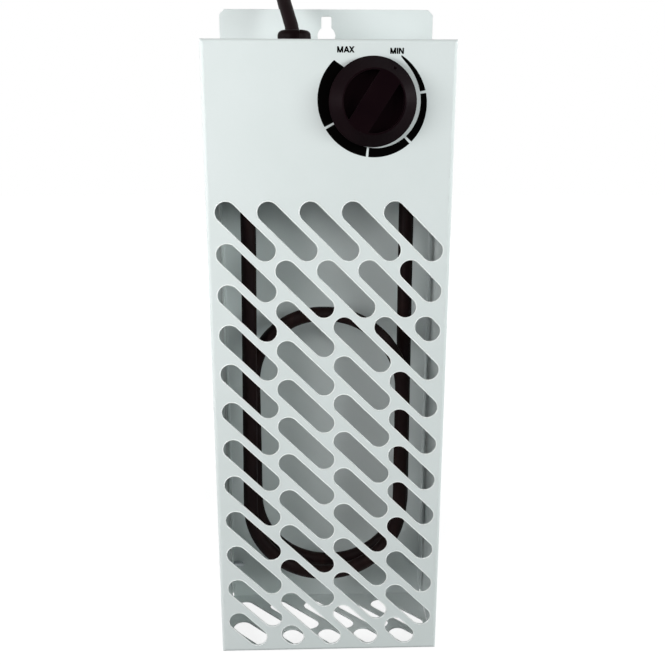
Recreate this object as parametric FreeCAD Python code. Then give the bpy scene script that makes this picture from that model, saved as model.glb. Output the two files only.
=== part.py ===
import FreeCAD, Part
import math
import os

# Frost protection heater: a folded sheet casing with a slotted front, standing on its bottom.
# Millimetres. X runs to the right, Y from the front to the rear, Z up. The origin is under the middle of
# the heater's own box, from the knob's face to the rear plate, on the surface that it stands on.

V = FreeCAD.Vector
RIGHT = V(1, 0, 0)
REARWARD = V(0, 1, 0)
UP = V(0, 0, 1)

# Casing
CASE_WIDTH = 122.6
CASE_HEIGHT = 332.3
CASE_DEPTH = 56.0
SHEET = 1.0
BEND_INSIDE = 1.0
SHEET_FIT = 0.2
FLANGE_GAP = 0.8
SEAM_GAP = 0.4
SEAM_RELIEF_RADIUS = 1.2
FLANGE_DEPTH = 8.4
FLANGE_END_GAP = 8.0

# Wall tab and its keyhole, with heights above the casing's top
TAB_WIDTH = 113.8
TAB_HEIGHT = 20.0
TAB_CHAMFER = 2.7
KEYHOLE_RADIUS = 4.75
KEYHOLE_RISE = 6.8
KEY_SLOT_WIDTH = 5.4
KEY_SLOT_TOP = 16.5
KEY_SLOT_CORNER = 0.8

# Grille of diagonal slots on the front, and vents of the same slots in the bottom
SLOT_WIDTH = 11.0
SLOT_BOX = 30.0
SLOT_PITCH = 21.0
GRILLE_LEFT = 4.5
GRILLE_RIGHT = 3.8
GRILLE_TOP = 76.0
GRILLE_BOTTOM = 4.1
VENT_REAR = 6.9
VENT_FRONT = 3.4

# Screws that hold the cover to the rear plate's flanges
CASE_SCREW_RADIUS = 1.75
CASE_SCREW_LENGTH = 9.5
CASE_SCREW_HEAD_RADIUS = 3.4
CASE_SCREW_HEAD = 2.2
CASE_SCREW_INSET = 4.9
CASE_SCREW_RISE = 26.0
HOLE_FIT = 0.15

# Shelf above the grille, with its underside's drop from the casing's top
SHELF_DROP = 69.0
SHELF_SIDE_GAP = 0.3
SHELF_FRONT_GAP = 0.5
SHELF_FRONT_FLANGE = 7.0
SHELF_REAR_FLANGE = 12.0
RIVET_RADIUS = 1.6
RIVET_HEAD_RADIUS = 3.2
RIVET_HEAD = 1.0
RIVET_ROUND = 0.8
RIVET_INSET = 9.0
RIVET_RISE = 7.5

# Heating element: one tube of one and a half turns, in two passes one behind the other, with the drops
# of its bends from the shelf
ELEMENT_RADIUS = 4.0
ELEMENT_FRONT_PASS = 20.5
ELEMENT_REAR_PASS = 34.5
ELEMENT_LEFT_LEG = -41.9
ELEMENT_RIGHT_LEG = 42.6
ELEMENT_LEG_BEND_DROP = 30.0
ELEMENT_LEG_BEND_RADIUS = 150.0
ELEMENT_FRONT_LEFT = -45.3
ELEMENT_FRONT_RIGHT = 41.0
ELEMENT_REAR_LEFT = -42.4
ELEMENT_REAR_RIGHT = 43.8
ELEMENT_LOW = 38.2
ELEMENT_LOOP_DROP = 70.7
ELEMENT_TURN_STRAIGHT = 2.0
ELEMENT_END_RISE = 10.0
BRAZE_FIT = 0.05
BUSH_RADIUS = 6.0
BUSH_FLANGE_RADIUS = 9.0
BUSH_FLANGE = 2.5
BUSH_RISE = 9.0
BUSH_NUT_FLATS = 17.0
BUSH_NUT_HEIGHT = 5.0
THREAD_FIT = 0.05
INSULATOR_RADIUS = 3.7
INSULATOR_HEIGHT = 8.0
PIN_RADIUS = 1.3
PIN_RISE = 16.0

# Thermostat behind the front panel, with its shaft's drop from the casing's top
KNOB_X = 20.7
KNOB_DROP = 28.8
THERMOSTAT_WIDTH = 38.0
THERMOSTAT_HEIGHT = 36.0
THERMOSTAT_DEPTH = 24.0
THERMOSTAT_CORNER = 3.0
THERMOSTAT_PLATE_WIDTH = 36.0
THERMOSTAT_PLATE_HEIGHT = 30.0
THERMOSTAT_PLATE = 1.5
COLLAR_RADIUS = 5.0
COLLAR_RISE = 3.0
SHAFT_RADIUS = 3.0
SHAFT_FIT = 0.05
SHAFT_DEPTH = 8.0
SHAFT_RISE = 9.5
SHAFT_FLAT = 1.6
SHAFT_RING_RADIUS = 4.2
SHAFT_RING = 2.0
POCKET_FIT = 0.4
SMALL_SCREW_RADIUS = 1.95
SMALL_SCREW_HEAD_RADIUS = 3.4
SMALL_SCREW_HEAD = 1.8
SMALL_SCREW_LENGTH = 5.0
SMALL_SCREW_SPREAD = 14.0

# Knob
KNOB_RADIUS = 21.0
KNOB_HEIGHT = 12.0
KNOB_GAP = 0.8
KNOB_RIM = 4.0
KNOB_CROWN_RADIUS = 15.0
KNOB_EDGE = 0.7
KNOB_WALL = 2.4
KNOB_CEILING = 4.0
KNOB_HUB_RADIUS = 6.0
KNOB_HUB_GAP = 0.3
KNOB_BORE_TOP = 10.2
KNOB_REST_ANGLE = 57.0
GRIP_HALF_WIDTH = 5.4
GRIP_POCKET_RADIUS = 14.4
GRIP_POCKET_FLOOR = 6.0
POINTER_RADIUS = 0.9
POINTER_REACH = 18.2
POINTER_DEPTH = 0.7
CLIP_THICKNESS = 0.5
CLIP_WIDTH = 3.8
CLIP_LENGTH = 6.0
CLIP_FIT = 0.05

# Spade terminals
SPADE_WIDTH = 6.3
SPADE_THICKNESS = 0.8
SPADE_LENGTH = 8.0
SPADE_SPREAD = 10.0
SPADE_DROP = 4.0

# Thermal cutout on the shelf
CUTOUT_X = 18.0
CUTOUT_BEHIND_FRONT = 40.0
CUTOUT_RADIUS = 8.0
CUTOUT_HEIGHT = 9.0
CUTOUT_EAR_REACH = 14.0
CUTOUT_EAR_WIDTH = 8.0
CUTOUT_EAR = 1.0
CUTOUT_EAR_ROUND = 3.6
CUTOUT_SCREW_SPREAD = 11.0
CUTOUT_SPADE_SPREAD = 4.5
SHELF_SCREW_RADIUS = 1.5
SHELF_SCREW_HEAD_RADIUS = 2.8
SHELF_SCREW_HEAD = 1.6
SHELF_SCREW_LENGTH = 5.0

# Terminal block on the shelf
BLOCK_X = -20.0
BLOCK_BEHIND_FRONT = 40.0
BLOCK_POLE_PITCH = 10.0
BLOCK_WIDTH = 16.0
BLOCK_BASE = 8.0
BLOCK_HEIGHT = 13.0
BLOCK_END_EAR = 8.0
BLOCK_EAR = 4.0
BLOCK_BOSS_RADIUS = 3.6
BLOCK_BOSS_SPREAD = 4.0
BLOCK_ENTRY_RISE = 5.0
BLOCK_SCREW_RADIUS = 1.8
BLOCK_SCREW_DEPTH = 3.0
BLOCK_SCREW_HEIGHT = 2.4

# Earth stud on the shelf
EARTH_INSET = 15.0
EARTH_BEHIND_FRONT = 38.0
EARTH_STUD_RADIUS = 2.0
EARTH_STUD_RISE = 11.0
EARTH_HEAD_RADIUS = 4.0
EARTH_HEAD = 1.5
EARTH_NUT_FLATS = 7.0
EARTH_NUT_HEIGHT = 3.2
EARTH_TAG_RADIUS = 4.0
EARTH_TAG = 0.8
EARTH_TAG_LENGTH = 9.0

# Wiring inside
WIRE_RADIUS = 1.1
WIRE_BEND = 3.0
WIRE_REAR_GAP = 2.5
WIRE_LAY_GAP = 0.3

# Strain relief in the top, with heights above the casing's top
RELIEF_X = -16.8
RELIEF_BEHIND_FRONT = 25.0
RELIEF_HEAD_RADIUS = 8.35
RELIEF_HEAD = 6.1
RELIEF_HEAD_ROUND = 2.4
RELIEF_NECK_RADIUS = 6.4
RELIEF_SNAP_RADIUS = 7.1
RELIEF_SNAP = 2.0
RELIEF_TAIL_RADIUS = 6.0
RELIEF_DEPTH = 15.0
RELIEF_SPLIT = 2.6
RELIEF_SPLIT_GAP = 0.15
CORD_FIT = 0.1

# Mains lead: its free stretch rises from the strain relief, arches over the tab and falls behind the
# heater to a tied coil on the floor. Its exit is placed from the strain relief, the arch from the exit,
# the fall from the exit with its heights as shares of the exit's height, and the landing from the coil
CORD_RADIUS = 3.4
CORD_BEND_SHARE = 0.45
CORD_EXIT_OFFSET = V(-1.4, 2.0, 8.0)
CORD_ARCH = [
    V(-6.2, 11.9, 20.2),
    V(-9.6, 35.9, 31.2),
    V(-7.2, 62.3, 25.7),
    V(-1.9, 79.4, 5.1),
]
CORD_FALL = [
    V(-5.1, 82.3, 0.858),
    V(-17.9, 74.7, 0.605),
    V(-28.0, 72.2, 0.413),
    V(-33.2, 71.6, 0.295),
    V(-35.6, 71.5, 0.173),
]
CORD_LANDING = [
    V(-55.5, -0.2, 30.3),
    V(-41.4, 0.0, 10.9),
    V(-20.0, 0.0, 0.0),
    V(0.0, 0.0, 0.0),
]
CORD_INLET_KNEE = 7.9
CORD_INLET_BEND = 10.0
CORD_INLET_DEPTH = 18.0
CORD_CORE_SPREAD = 2.4

# Coil of the put-away length: in, up a layer and out again
COIL_OFFSET_X = 30.9
COIL_OFFSET_Y = 115.6
COIL_LIFT = 1.2
COIL_OUTER_RADIUS = 43.6
COIL_TURNS = 4.25
COIL_PITCH = 7.6
COIL_LAYER = 7.6
COIL_SPANS = 18
COIL_END = 2 * CORD_RADIUS
COIL_SAMPLES = 30

# Tail from the coil's end to the plug
CORD_TAIL = [
    V(0.0, 0.0, 0.0),
    V(0.0, 10.0, 0.0),
    V(-4.0, 28.6, 1.0),
    V(-15.1, 44.0, 2.8),
    V(-31.9, 52.9, 4.3),
    V(-50.9, 52.9, 4.3),
]

# Tie round the coil
TIE_THICKNESS = 1.0
TIE_WIDTH = 6.0
TIE_FIT = 0.2
TIE_CORNER = 4.0

# Plug, lying on its flat side
PLUG_RADIUS = 18.25
PLUG_FLAT = 16.5
PLUG_BOOT_RADIUS = 4.6
PLUG_NECK_RADIUS = 6.6
PLUG_BOOT_LENGTH = 16.0
PLUG_SHOULDER_LENGTH = 12.0
PLUG_HEAD_LENGTH = 22.0
PLUG_EDGE = 1.5
PLUG_PIN_RADIUS = 2.4
PLUG_PIN_LENGTH = 19.0
PLUG_PIN_SPREAD = 9.5
PLUG_PIN_ROUND = 2.1
PLUG_CLIP_WIDTH = 4.6
PLUG_CLIP_THICKNESS = 1.0
PLUG_CLIP_LENGTH = 15.0
PLUG_GROOVE_DEPTH = 2.0
PLUG_GROOVE_FIT = 0.3

# Levels worked out from the sizes above
FRONT = -(CASE_DEPTH - KNOB_HEIGHT) / 2
REAR = FRONT + CASE_DEPTH
PANEL_BACK = FRONT + SHEET
REAR_FACE = REAR - SHEET
HALF_WIDTH = CASE_WIDTH / 2
BEND_OUTSIDE = BEND_INSIDE + SHEET
CASE_SCREW_HEIGHTS = (CASE_SCREW_RISE, CASE_HEIGHT - CASE_SCREW_RISE)
SHELF_HEIGHT = CASE_HEIGHT - SHELF_DROP
SHELF_TOP = SHELF_HEIGHT + SHEET
ELEMENT_LEG_BEND = SHELF_HEIGHT - ELEMENT_LEG_BEND_DROP
ELEMENT_HIGH = SHELF_HEIGHT - ELEMENT_LOOP_DROP
ELEMENT_END = SHELF_TOP + ELEMENT_END_RISE
THERMOSTAT_FACE = PANEL_BACK + THERMOSTAT_PLATE
THERMOSTAT_REAR = THERMOSTAT_FACE + THERMOSTAT_DEPTH
KNOB_Z = CASE_HEIGHT - KNOB_DROP
KNOB_CENTRE = V(KNOB_X, FRONT, KNOB_Z)
WIRE_REAR = REAR_FACE - WIRE_REAR_GAP
BLOCK_Y = FRONT + BLOCK_BEHIND_FRONT
BLOCK_HALF = 1.5 * BLOCK_POLE_PITCH
BLOCK_ENTRY = SHELF_TOP + BLOCK_ENTRY_RISE
CUTOUT_PLACE = V(CUTOUT_X, FRONT + CUTOUT_BEHIND_FRONT, SHELF_TOP)
EARTH_PLACE = V(EARTH_INSET - HALF_WIDTH, FRONT + EARTH_BEHIND_FRONT, SHELF_TOP)
RELIEF_PLACE = V(RELIEF_X, FRONT + RELIEF_BEHIND_FRONT, CASE_HEIGHT)
CORD_EXIT = RELIEF_PLACE + CORD_EXIT_OFFSET
COIL_MIDDLE = V(CORD_EXIT.x + COIL_OFFSET_X, CORD_EXIT.y + COIL_OFFSET_Y, CORD_RADIUS + COIL_LIFT)


def box(x, y, z):
    """A block between pairs of limits along X, Y and Z."""
    return Part.makeBox(x[1] - x[0], y[1] - y[0], z[1] - z[0], V(x[0], y[0], z[0]))


def rod(start, along, radius):
    """A round bar from a point, as long as a vector."""
    return Part.makeCylinder(radius, along.Length, start, along)


def hexagon(start, along, flats):
    """A hexagonal bar from a point, as long as a vector, by its width across flats."""
    corner_radius = flats / math.sqrt(3)
    points = []
    for corner in range(7):
        angle = math.radians(60 * corner)
        points.append(V(corner_radius * math.cos(angle), corner_radius * math.sin(angle), 0))
    prism = Part.Face(Part.makePolygon(points)).extrude(V(0, 0, along.Length))
    prism.Placement = FreeCAD.Placement(start, FreeCAD.Rotation(UP, along))
    return prism


def unit(vector):
    """The vector's direction."""
    return vector * (1 / vector.Length)


def corner(before, at, after, radius):
    """Start, middle and end of the tangent arc that rounds one corner."""
    back = unit(before - at)
    onward = unit(after - at)
    half = back.getAngle(onward) / 2
    bisector = unit(back + onward)
    reach = radius / math.tan(half)
    middle = at + bisector * (radius / math.sin(half) - radius)
    return at + back * reach, middle, at + onward * reach


def rounded_wire(points, radii):
    """Straight runs through the points, with one tangent arc for each inner point's radius."""
    edges = []
    cursor = points[0]
    for index, radius in enumerate(radii, start=1):
        start, middle, end = corner(points[index - 1], points[index], points[index + 1], radius)
        edges.append(Part.LineSegment(cursor, start).toShape())
        edges.append(Part.Arc(start, middle, end).toShape())
        cursor = end
    edges.append(Part.LineSegment(cursor, points[-1]).toShape())
    return Part.Wire(edges)


def rounded_face(points, radii):
    """A flat face inside the points, where a radius of 0 keeps a corner sharp."""
    count = len(points)
    rounds = []
    for index, radius in enumerate(radii):
        if radius:
            rounds.append(corner(points[index - 1], points[index], points[(index + 1) % count], radius))
        else:
            rounds.append((points[index], None, points[index]))
    edges = []
    for index, (start, middle, end) in enumerate(rounds):
        if middle:
            edges.append(Part.Arc(start, middle, end).toShape())
        edges.append(Part.LineSegment(end, rounds[(index + 1) % count][0]).toShape())
    return Part.Face(Part.Wire(edges))


def turned(profile, radii, start, along):
    """A solid of revolution from (radius, height) points, standing at a point along a direction."""
    face = rounded_face([V(radius, 0, height) for radius, height in profile], radii)
    solid = face.revolve(V(0, 0, 0), UP, 360)
    solid.Placement = FreeCAD.Placement(start, FreeCAD.Rotation(UP, along))
    return solid


def tube(wire, radius):
    """A round tube along a wire."""
    first = wire.Edges[0]
    start = first.valueAt(first.FirstParameter)
    ring = Part.Wire(Part.makeCircle(radius, start, first.tangentAt(first.FirstParameter)))
    return wire.makePipeShell([ring], True, False)


def slot_prism(start, end, radius, along):
    """A round-ended slot between two centres, as deep as a vector."""
    run = unit(end - start) * radius
    side = unit(along.cross(run)) * radius
    edges = [
        Part.LineSegment(start + side, end + side).toShape(),
        Part.Arc(end + side, end + run, end - side).toShape(),
        Part.LineSegment(end - side, start - side).toShape(),
        Part.Arc(start - side, start - run, start + side).toShape(),
    ]
    return Part.Face(Part.Wire(edges)).extrude(along)


def edges_at(shape, axis, level):
    """The edges that lie wholly at one level of X, Y or Z, given as 0, 1 or 2."""
    return [edge for edge in shape.Edges if all(abs(v.Point[axis] - level) < 1e-6 for v in edge.Vertexes)]


def edges_along(edges, axis):
    """Those of some straight edges that run along X, Y or Z, given as 0, 1 or 2."""
    return [edge for edge in edges if abs(abs(edge.Curve.Direction[axis]) - 1) < 1e-6]


def slot_spans(left, top, right, bottom):
    """Squares that diagonal slots fill, as (across, down, side) from the panel's upper left.

    Diagonals start every pitch along the left and top margins. A slot that meets the right or lower
    margin stops there, and one that leaves too little for another slot runs on to the margin.
    """
    starts = []
    down = top
    while down < bottom:
        starts.append((left, down))
        down += SLOT_PITCH
    across = left + SLOT_PITCH
    while across < right:
        starts.append((across, top))
        across += SLOT_PITCH
    step = SLOT_BOX - SLOT_WIDTH + SLOT_PITCH / 2
    spans = []
    for across, down in starts:
        room = min(right - across, bottom - down)
        while room > SLOT_WIDTH:
            side = min(SLOT_BOX, room)
            if room - step <= SLOT_WIDTH:
                side = room
            spans.append((across, down, side))
            across += step
            down += step
            room -= step
    return spans


def slots(corner_point, across_axis, down_axis, through, spans):
    """Cutters for the slots of one panel, from its upper left corner and its two directions."""
    cutters = []
    radius = SLOT_WIDTH / 2
    diagonal = across_axis + down_axis
    for across, down, side in spans:
        start = corner_point + across_axis * across + down_axis * down + diagonal * radius
        end = start + diagonal * (side - SLOT_WIDTH)
        cutters.append(slot_prism(start, end, radius, through))
    return cutters


def case_screw_places():
    """Side, height of each screw through the casing's sides."""
    return [(side, height) for side in (-1, 1) for height in CASE_SCREW_HEIGHTS]


def thermostat_screw_places():
    """Centres of the two thermostat screws on the front face."""
    return [KNOB_CENTRE + RIGHT * (side * SMALL_SCREW_SPREAD) for side in (-1, 1)]


def rivet_places():
    """Centres of the rivets on the rear plate's outer face."""
    return [V(side * (HALF_WIDTH - RIVET_INSET), REAR, SHELF_TOP + RIVET_RISE) for side in (-1, 1)]


def leg_places():
    """Where the element's two legs cross the shelf's top."""
    left = V(ELEMENT_LEFT_LEG, FRONT + ELEMENT_FRONT_PASS, SHELF_TOP)
    right = V(ELEMENT_RIGHT_LEG, FRONT + ELEMENT_REAR_PASS, SHELF_TOP)
    return [left, right]


def cutout_screw_places():
    """Where the cutout's screws cross the shelf's top."""
    return [CUTOUT_PLACE + RIGHT * (side * CUTOUT_SCREW_SPREAD) for side in (-1, 1)]


def block_screw_place():
    """Where the terminal block's screw crosses the shelf's top."""
    reach = BLOCK_HALF + BLOCK_END_EAR / 2
    return V(BLOCK_X + reach, BLOCK_Y, SHELF_TOP)


def pole_x(pole):
    """X of a terminal pole, from -1 to 1."""
    return BLOCK_X + pole * BLOCK_POLE_PITCH


def front_cover():
    """Folded cover: slotted front, two sides, plain top and slotted bottom, open at the rear."""
    outer = box((-HALF_WIDTH, HALF_WIDTH), (FRONT, REAR), (0, CASE_HEIGHT))
    outer = outer.makeFillet(BEND_OUTSIDE, edges_at(outer, 1, FRONT))
    inside = HALF_WIDTH - SHEET
    inner = box((-inside, inside), (PANEL_BACK, REAR + SHEET), (SHEET, CASE_HEIGHT - SHEET))
    inner = inner.makeFillet(BEND_INSIDE, edges_at(inner, 1, PANEL_BACK))
    plate_bay = box((-inside, inside), (REAR_FACE - SHEET_FIT, REAR + SHEET), (-SHEET, CASE_HEIGHT + SHEET))
    cover = outer.cut([inner, plate_bay])

    upper_left = V(-HALF_WIDTH, FRONT - SHEET, CASE_HEIGHT)
    grille = slot_spans(GRILLE_LEFT, GRILLE_TOP, CASE_WIDTH - GRILLE_RIGHT, CASE_HEIGHT - GRILLE_BOTTOM)
    cutters = slots(upper_left, RIGHT, -UP, REARWARD * (3 * SHEET), grille)
    rear_left = V(-HALF_WIDTH, REAR, -SHEET)
    vents = slot_spans(GRILLE_LEFT, VENT_REAR, CASE_WIDTH - GRILLE_RIGHT, CASE_DEPTH - VENT_FRONT)
    cutters += slots(rear_left, RIGHT, -REARWARD, UP * (3 * SHEET), vents)

    for side in (-1, 1):
        seam_edges = sorted((side * inside, side * (inside - SEAM_GAP)))
        relief_y = FRONT + BEND_OUTSIDE + SEAM_RELIEF_RADIUS
        for level in (0, CASE_HEIGHT - SHEET):
            cutters.append(box(seam_edges, (relief_y, REAR + SHEET), (level - SHEET, level + 2 * SHEET)))
            relief = V(sum(seam_edges) / 2, relief_y, level)
            cutters.append(rod(relief, UP * SHEET, SEAM_RELIEF_RADIUS))
    for side, height in case_screw_places():
        place = V(side * (HALF_WIDTH + SHEET), REAR - CASE_SCREW_INSET, height)
        cutters.append(rod(place, RIGHT * (-3 * side * SHEET), CASE_SCREW_RADIUS + HOLE_FIT))
    through_front = REARWARD * (3 * SHEET)
    cutters.append(rod(KNOB_CENTRE - REARWARD * SHEET, through_front, COLLAR_RADIUS + HOLE_FIT))
    for place in thermostat_screw_places():
        cutters.append(rod(place - REARWARD * SHEET, through_front, SMALL_SCREW_RADIUS + HOLE_FIT))
    cutters.append(rod(RELIEF_PLACE + UP * SHEET, UP * (-3 * SHEET), RELIEF_NECK_RADIUS + HOLE_FIT))
    return cover.cut(cutters)


def keyhole():
    """Cutter for the keyhole: a round hole with a narrow slot above it."""
    centre = V(0, REAR + SHEET, CASE_HEIGHT + KEYHOLE_RISE)
    hole = rod(centre, REARWARD * (-3 * SHEET), KEYHOLE_RADIUS)
    half = KEY_SLOT_WIDTH / 2
    top = CASE_HEIGHT + KEY_SLOT_TOP
    outline = [V(x, centre.y, z) for x, z in ((-half, centre.z), (half, centre.z), (half, top), (-half, top))]
    slot = rounded_face(outline, [0, 0, KEY_SLOT_CORNER, KEY_SLOT_CORNER])
    return hole.fuse(slot.extrude(REARWARD * (-3 * SHEET)))


def rear_plate():
    """Rear sheet with two side flanges, and the wall tab with its keyhole."""
    half = HALF_WIDTH - SHEET - FLANGE_GAP
    low = FLANGE_END_GAP
    high = CASE_HEIGHT - FLANGE_END_GAP
    channel = box((-half, half), (REAR - FLANGE_DEPTH, REAR), (low, high))
    channel = channel.makeFillet(BEND_OUTSIDE, edges_along(edges_at(channel, 1, REAR), 2))
    inside = half - SHEET
    hollow = box((-inside, inside), (REAR - FLANGE_DEPTH - SHEET, REAR_FACE), (low - SHEET, high + SHEET))
    hollow = hollow.makeFillet(BEND_INSIDE, edges_along(edges_at(hollow, 1, REAR_FACE), 2))
    channel = channel.cut(hollow)
    waist = half - BEND_OUTSIDE
    tab = TAB_WIDTH / 2
    tab_top = CASE_HEIGHT + TAB_HEIGHT
    right_side = [
        (half, 0),
        (half, low),
        (waist, low),
        (waist, high),
        (half, high),
        (half, CASE_HEIGHT),
        (tab, CASE_HEIGHT),
        (tab, tab_top - TAB_CHAMFER),
        (tab - TAB_CHAMFER, tab_top),
    ]
    outline = [V(x, REAR_FACE, z) for x, z in right_side]
    outline += [V(-x, REAR_FACE, z) for x, z in reversed(right_side)]
    sheet = Part.Face(Part.makePolygon(outline + outline[:1])).extrude(REARWARD * SHEET)
    plate = sheet.fuse(channel).removeSplitter()
    cutters = [keyhole()]
    for side, height in case_screw_places():
        place = V(side * HALF_WIDTH, REAR - CASE_SCREW_INSET, height)
        cutters.append(rod(place, RIGHT * (-4 * side * SHEET), CASE_SCREW_RADIUS + THREAD_FIT))
    for place in rivet_places():
        cutters.append(rod(place + REARWARD * SHEET, REARWARD * (-3 * SHEET), RIVET_RADIUS + THREAD_FIT))
    return plate.cut(cutters)


def case_screws():
    """Four pan head screws through the casing's sides."""
    screws = []
    for side, height in case_screw_places():
        inward = RIGHT * -side
        face = V(side * HALF_WIDTH, REAR - CASE_SCREW_INSET, height)
        profile = [
            (0, -CASE_SCREW_HEAD),
            (CASE_SCREW_HEAD_RADIUS, -CASE_SCREW_HEAD),
            (CASE_SCREW_HEAD_RADIUS, 0),
            (CASE_SCREW_RADIUS, 0),
            (CASE_SCREW_RADIUS, CASE_SCREW_LENGTH - CASE_SCREW_RADIUS),
            (0, CASE_SCREW_LENGTH),
        ]
        screws.append(turned(profile, [0, CASE_SCREW_HEAD / 2, 0, 0, 0, 0], face, inward))
    return Part.makeCompound(screws)


def element_plate():
    """Shelf with a front stiffening flange and a rear flange that is riveted to the rear plate."""
    near = PANEL_BACK + SHELF_FRONT_GAP
    far = REAR_FACE
    front_top = SHELF_TOP + SHELF_FRONT_FLANGE
    rear_top = SHELF_TOP + SHELF_REAR_FLANGE
    section = [
        (near, SHELF_HEIGHT, BEND_OUTSIDE),
        (far, SHELF_HEIGHT, BEND_OUTSIDE),
        (far, rear_top, 0),
        (far - SHEET, rear_top, 0),
        (far - SHEET, SHELF_TOP, BEND_INSIDE),
        (near + SHEET, SHELF_TOP, BEND_INSIDE),
        (near + SHEET, front_top, 0),
        (near, front_top, 0),
    ]
    half = HALF_WIDTH - 2 * SHEET - FLANGE_GAP - BEND_INSIDE - SHELF_SIDE_GAP
    face = rounded_face([V(-half, y, z) for y, z, _ in section], [radius for _, _, radius in section])
    shelf = face.extrude(RIGHT * (2 * half))
    down = UP * (-3 * SHEET)
    cutters = [rod(place + UP * SHEET, down, BUSH_RADIUS + HOLE_FIT) for place in leg_places()]
    for place in cutout_screw_places() + [block_screw_place()]:
        cutters.append(rod(place + UP * SHEET, down, SHELF_SCREW_RADIUS + THREAD_FIT))
    cutters.append(rod(EARTH_PLACE + UP * SHEET, down, EARTH_STUD_RADIUS + THREAD_FIT))
    for place in rivet_places():
        cutters.append(rod(place, REARWARD * (-4 * SHEET), RIVET_RADIUS + THREAD_FIT))
    return shelf.cut(cutters)


def plate_rivets():
    """Two rivets, flush with the rear plate's outer face."""
    length = 2 * SHEET
    profile = [
        (0, 0),
        (RIVET_RADIUS, 0),
        (RIVET_RADIUS, length),
        (RIVET_HEAD_RADIUS, length),
        (RIVET_HEAD_RADIUS, length + RIVET_HEAD),
        (0, length + RIVET_HEAD),
    ]
    radii = [0, 0, 0, 0, RIVET_ROUND, 0]
    return Part.makeCompound([turned(profile, radii, place, -REARWARD) for place in rivet_places()])


def heating_element():
    """Bent tube: down the left, round below, up the right, over the top and round once more behind."""
    front = FRONT + ELEMENT_FRONT_PASS
    rear = FRONT + ELEMENT_REAR_PASS
    points = [
        V(ELEMENT_LEFT_LEG, front, ELEMENT_END),
        V(ELEMENT_LEFT_LEG, front, ELEMENT_LEG_BEND),
        V(ELEMENT_FRONT_LEFT, front, ELEMENT_LOW),
        V(ELEMENT_FRONT_RIGHT, front, ELEMENT_LOW),
        V(ELEMENT_FRONT_RIGHT, front, ELEMENT_HIGH),
        V(ELEMENT_REAR_LEFT, rear, ELEMENT_HIGH),
        V(ELEMENT_REAR_LEFT, rear, ELEMENT_LOW),
        V(ELEMENT_REAR_RIGHT, rear, ELEMENT_LOW),
        V(ELEMENT_RIGHT_LEG, rear, ELEMENT_LEG_BEND),
        V(ELEMENT_RIGHT_LEG, rear, ELEMENT_END),
    ]
    radii = [ELEMENT_LEG_BEND_RADIUS]
    for first in (2, 4, 6):
        span = (points[first + 1] - points[first]).Length
        radii += [(span - ELEMENT_TURN_STRAIGHT) / 2] * 2
    radii.append(ELEMENT_LEG_BEND_RADIUS)
    return tube(rounded_wire(points, radii), ELEMENT_RADIUS)


def element_bushes():
    """Flanged bushes brazed on the element's legs, through the shelf."""
    bore = ELEMENT_RADIUS + BRAZE_FIT
    profile = [
        (bore, -SHEET - BUSH_FLANGE),
        (BUSH_FLANGE_RADIUS, -SHEET - BUSH_FLANGE),
        (BUSH_FLANGE_RADIUS, -SHEET),
        (BUSH_RADIUS, -SHEET),
        (BUSH_RADIUS, BUSH_RISE),
        (bore, BUSH_RISE),
    ]
    return Part.makeCompound([turned(profile, [0] * 6, place, UP) for place in leg_places()])


def element_nuts():
    """Hexagon nuts that clamp the bushes to the shelf."""
    nuts = []
    for place in leg_places():
        nut = hexagon(place, UP * BUSH_NUT_HEIGHT, BUSH_NUT_FLATS)
        nuts.append(nut.cut(rod(place, UP * BUSH_NUT_HEIGHT, BUSH_RADIUS + THREAD_FIT)))
    return Part.makeCompound(nuts)


def element_insulators():
    """Ceramic beads on the element's ends."""
    beads = []
    for place in leg_places():
        foot = V(place.x, place.y, ELEMENT_END)
        bead = rod(foot, UP * INSULATOR_HEIGHT, INSULATOR_RADIUS)
        beads.append(bead.cut(rod(foot, UP * INSULATOR_HEIGHT, PIN_RADIUS + THREAD_FIT)))
    return Part.makeCompound(beads)


def element_pins():
    """Terminal pins that stand on the element's ends."""
    return Part.makeCompound([rod(V(p.x, p.y, ELEMENT_END), UP * PIN_RISE, PIN_RADIUS) for p in leg_places()])


def thermostat_plate():
    """Mounting plate behind the front panel, with the collar that the shaft turns in."""
    half = THERMOSTAT_PLATE_WIDTH / 2
    tall = THERMOSTAT_PLATE_HEIGHT / 2
    plate = box((KNOB_X - half, KNOB_X + half), (PANEL_BACK, THERMOSTAT_FACE), (KNOB_Z - tall, KNOB_Z + tall))
    rise = REARWARD * (-COLLAR_RISE)
    plate = plate.fuse(rod(V(KNOB_X, PANEL_BACK, KNOB_Z), rise, COLLAR_RADIUS)).removeSplitter()
    bore_start = V(KNOB_X, THERMOSTAT_FACE, KNOB_Z)
    cutters = [rod(bore_start, REARWARD * -(COLLAR_RISE + THERMOSTAT_PLATE), SHAFT_RADIUS + SHAFT_FIT)]
    for place in thermostat_screw_places():
        cutters.append(rod(place, REARWARD * (SHEET + THERMOSTAT_PLATE), SMALL_SCREW_RADIUS + THREAD_FIT))
    return plate.cut(cutters)


def thermostat_body():
    """Moulded thermostat housing, with pockets for the shaft's end and the screw tips."""
    half = THERMOSTAT_WIDTH / 2
    tall = THERMOSTAT_HEIGHT / 2
    across = (KNOB_X - half, KNOB_X + half)
    body = box(across, (THERMOSTAT_FACE, THERMOSTAT_REAR), (KNOB_Z - tall, KNOB_Z + tall))
    body = body.makeFillet(THERMOSTAT_CORNER, edges_along(body.Edges, 1))
    face = V(KNOB_X, THERMOSTAT_FACE, KNOB_Z)
    cutters = [rod(face, REARWARD * (SHAFT_DEPTH + POCKET_FIT), SHAFT_RING_RADIUS + POCKET_FIT)]
    for place in thermostat_screw_places():
        depth = REARWARD * (SMALL_SCREW_LENGTH + POCKET_FIT)
        cutters.append(rod(place, depth, SMALL_SCREW_RADIUS + POCKET_FIT))
    return body.cut(cutters)


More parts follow.
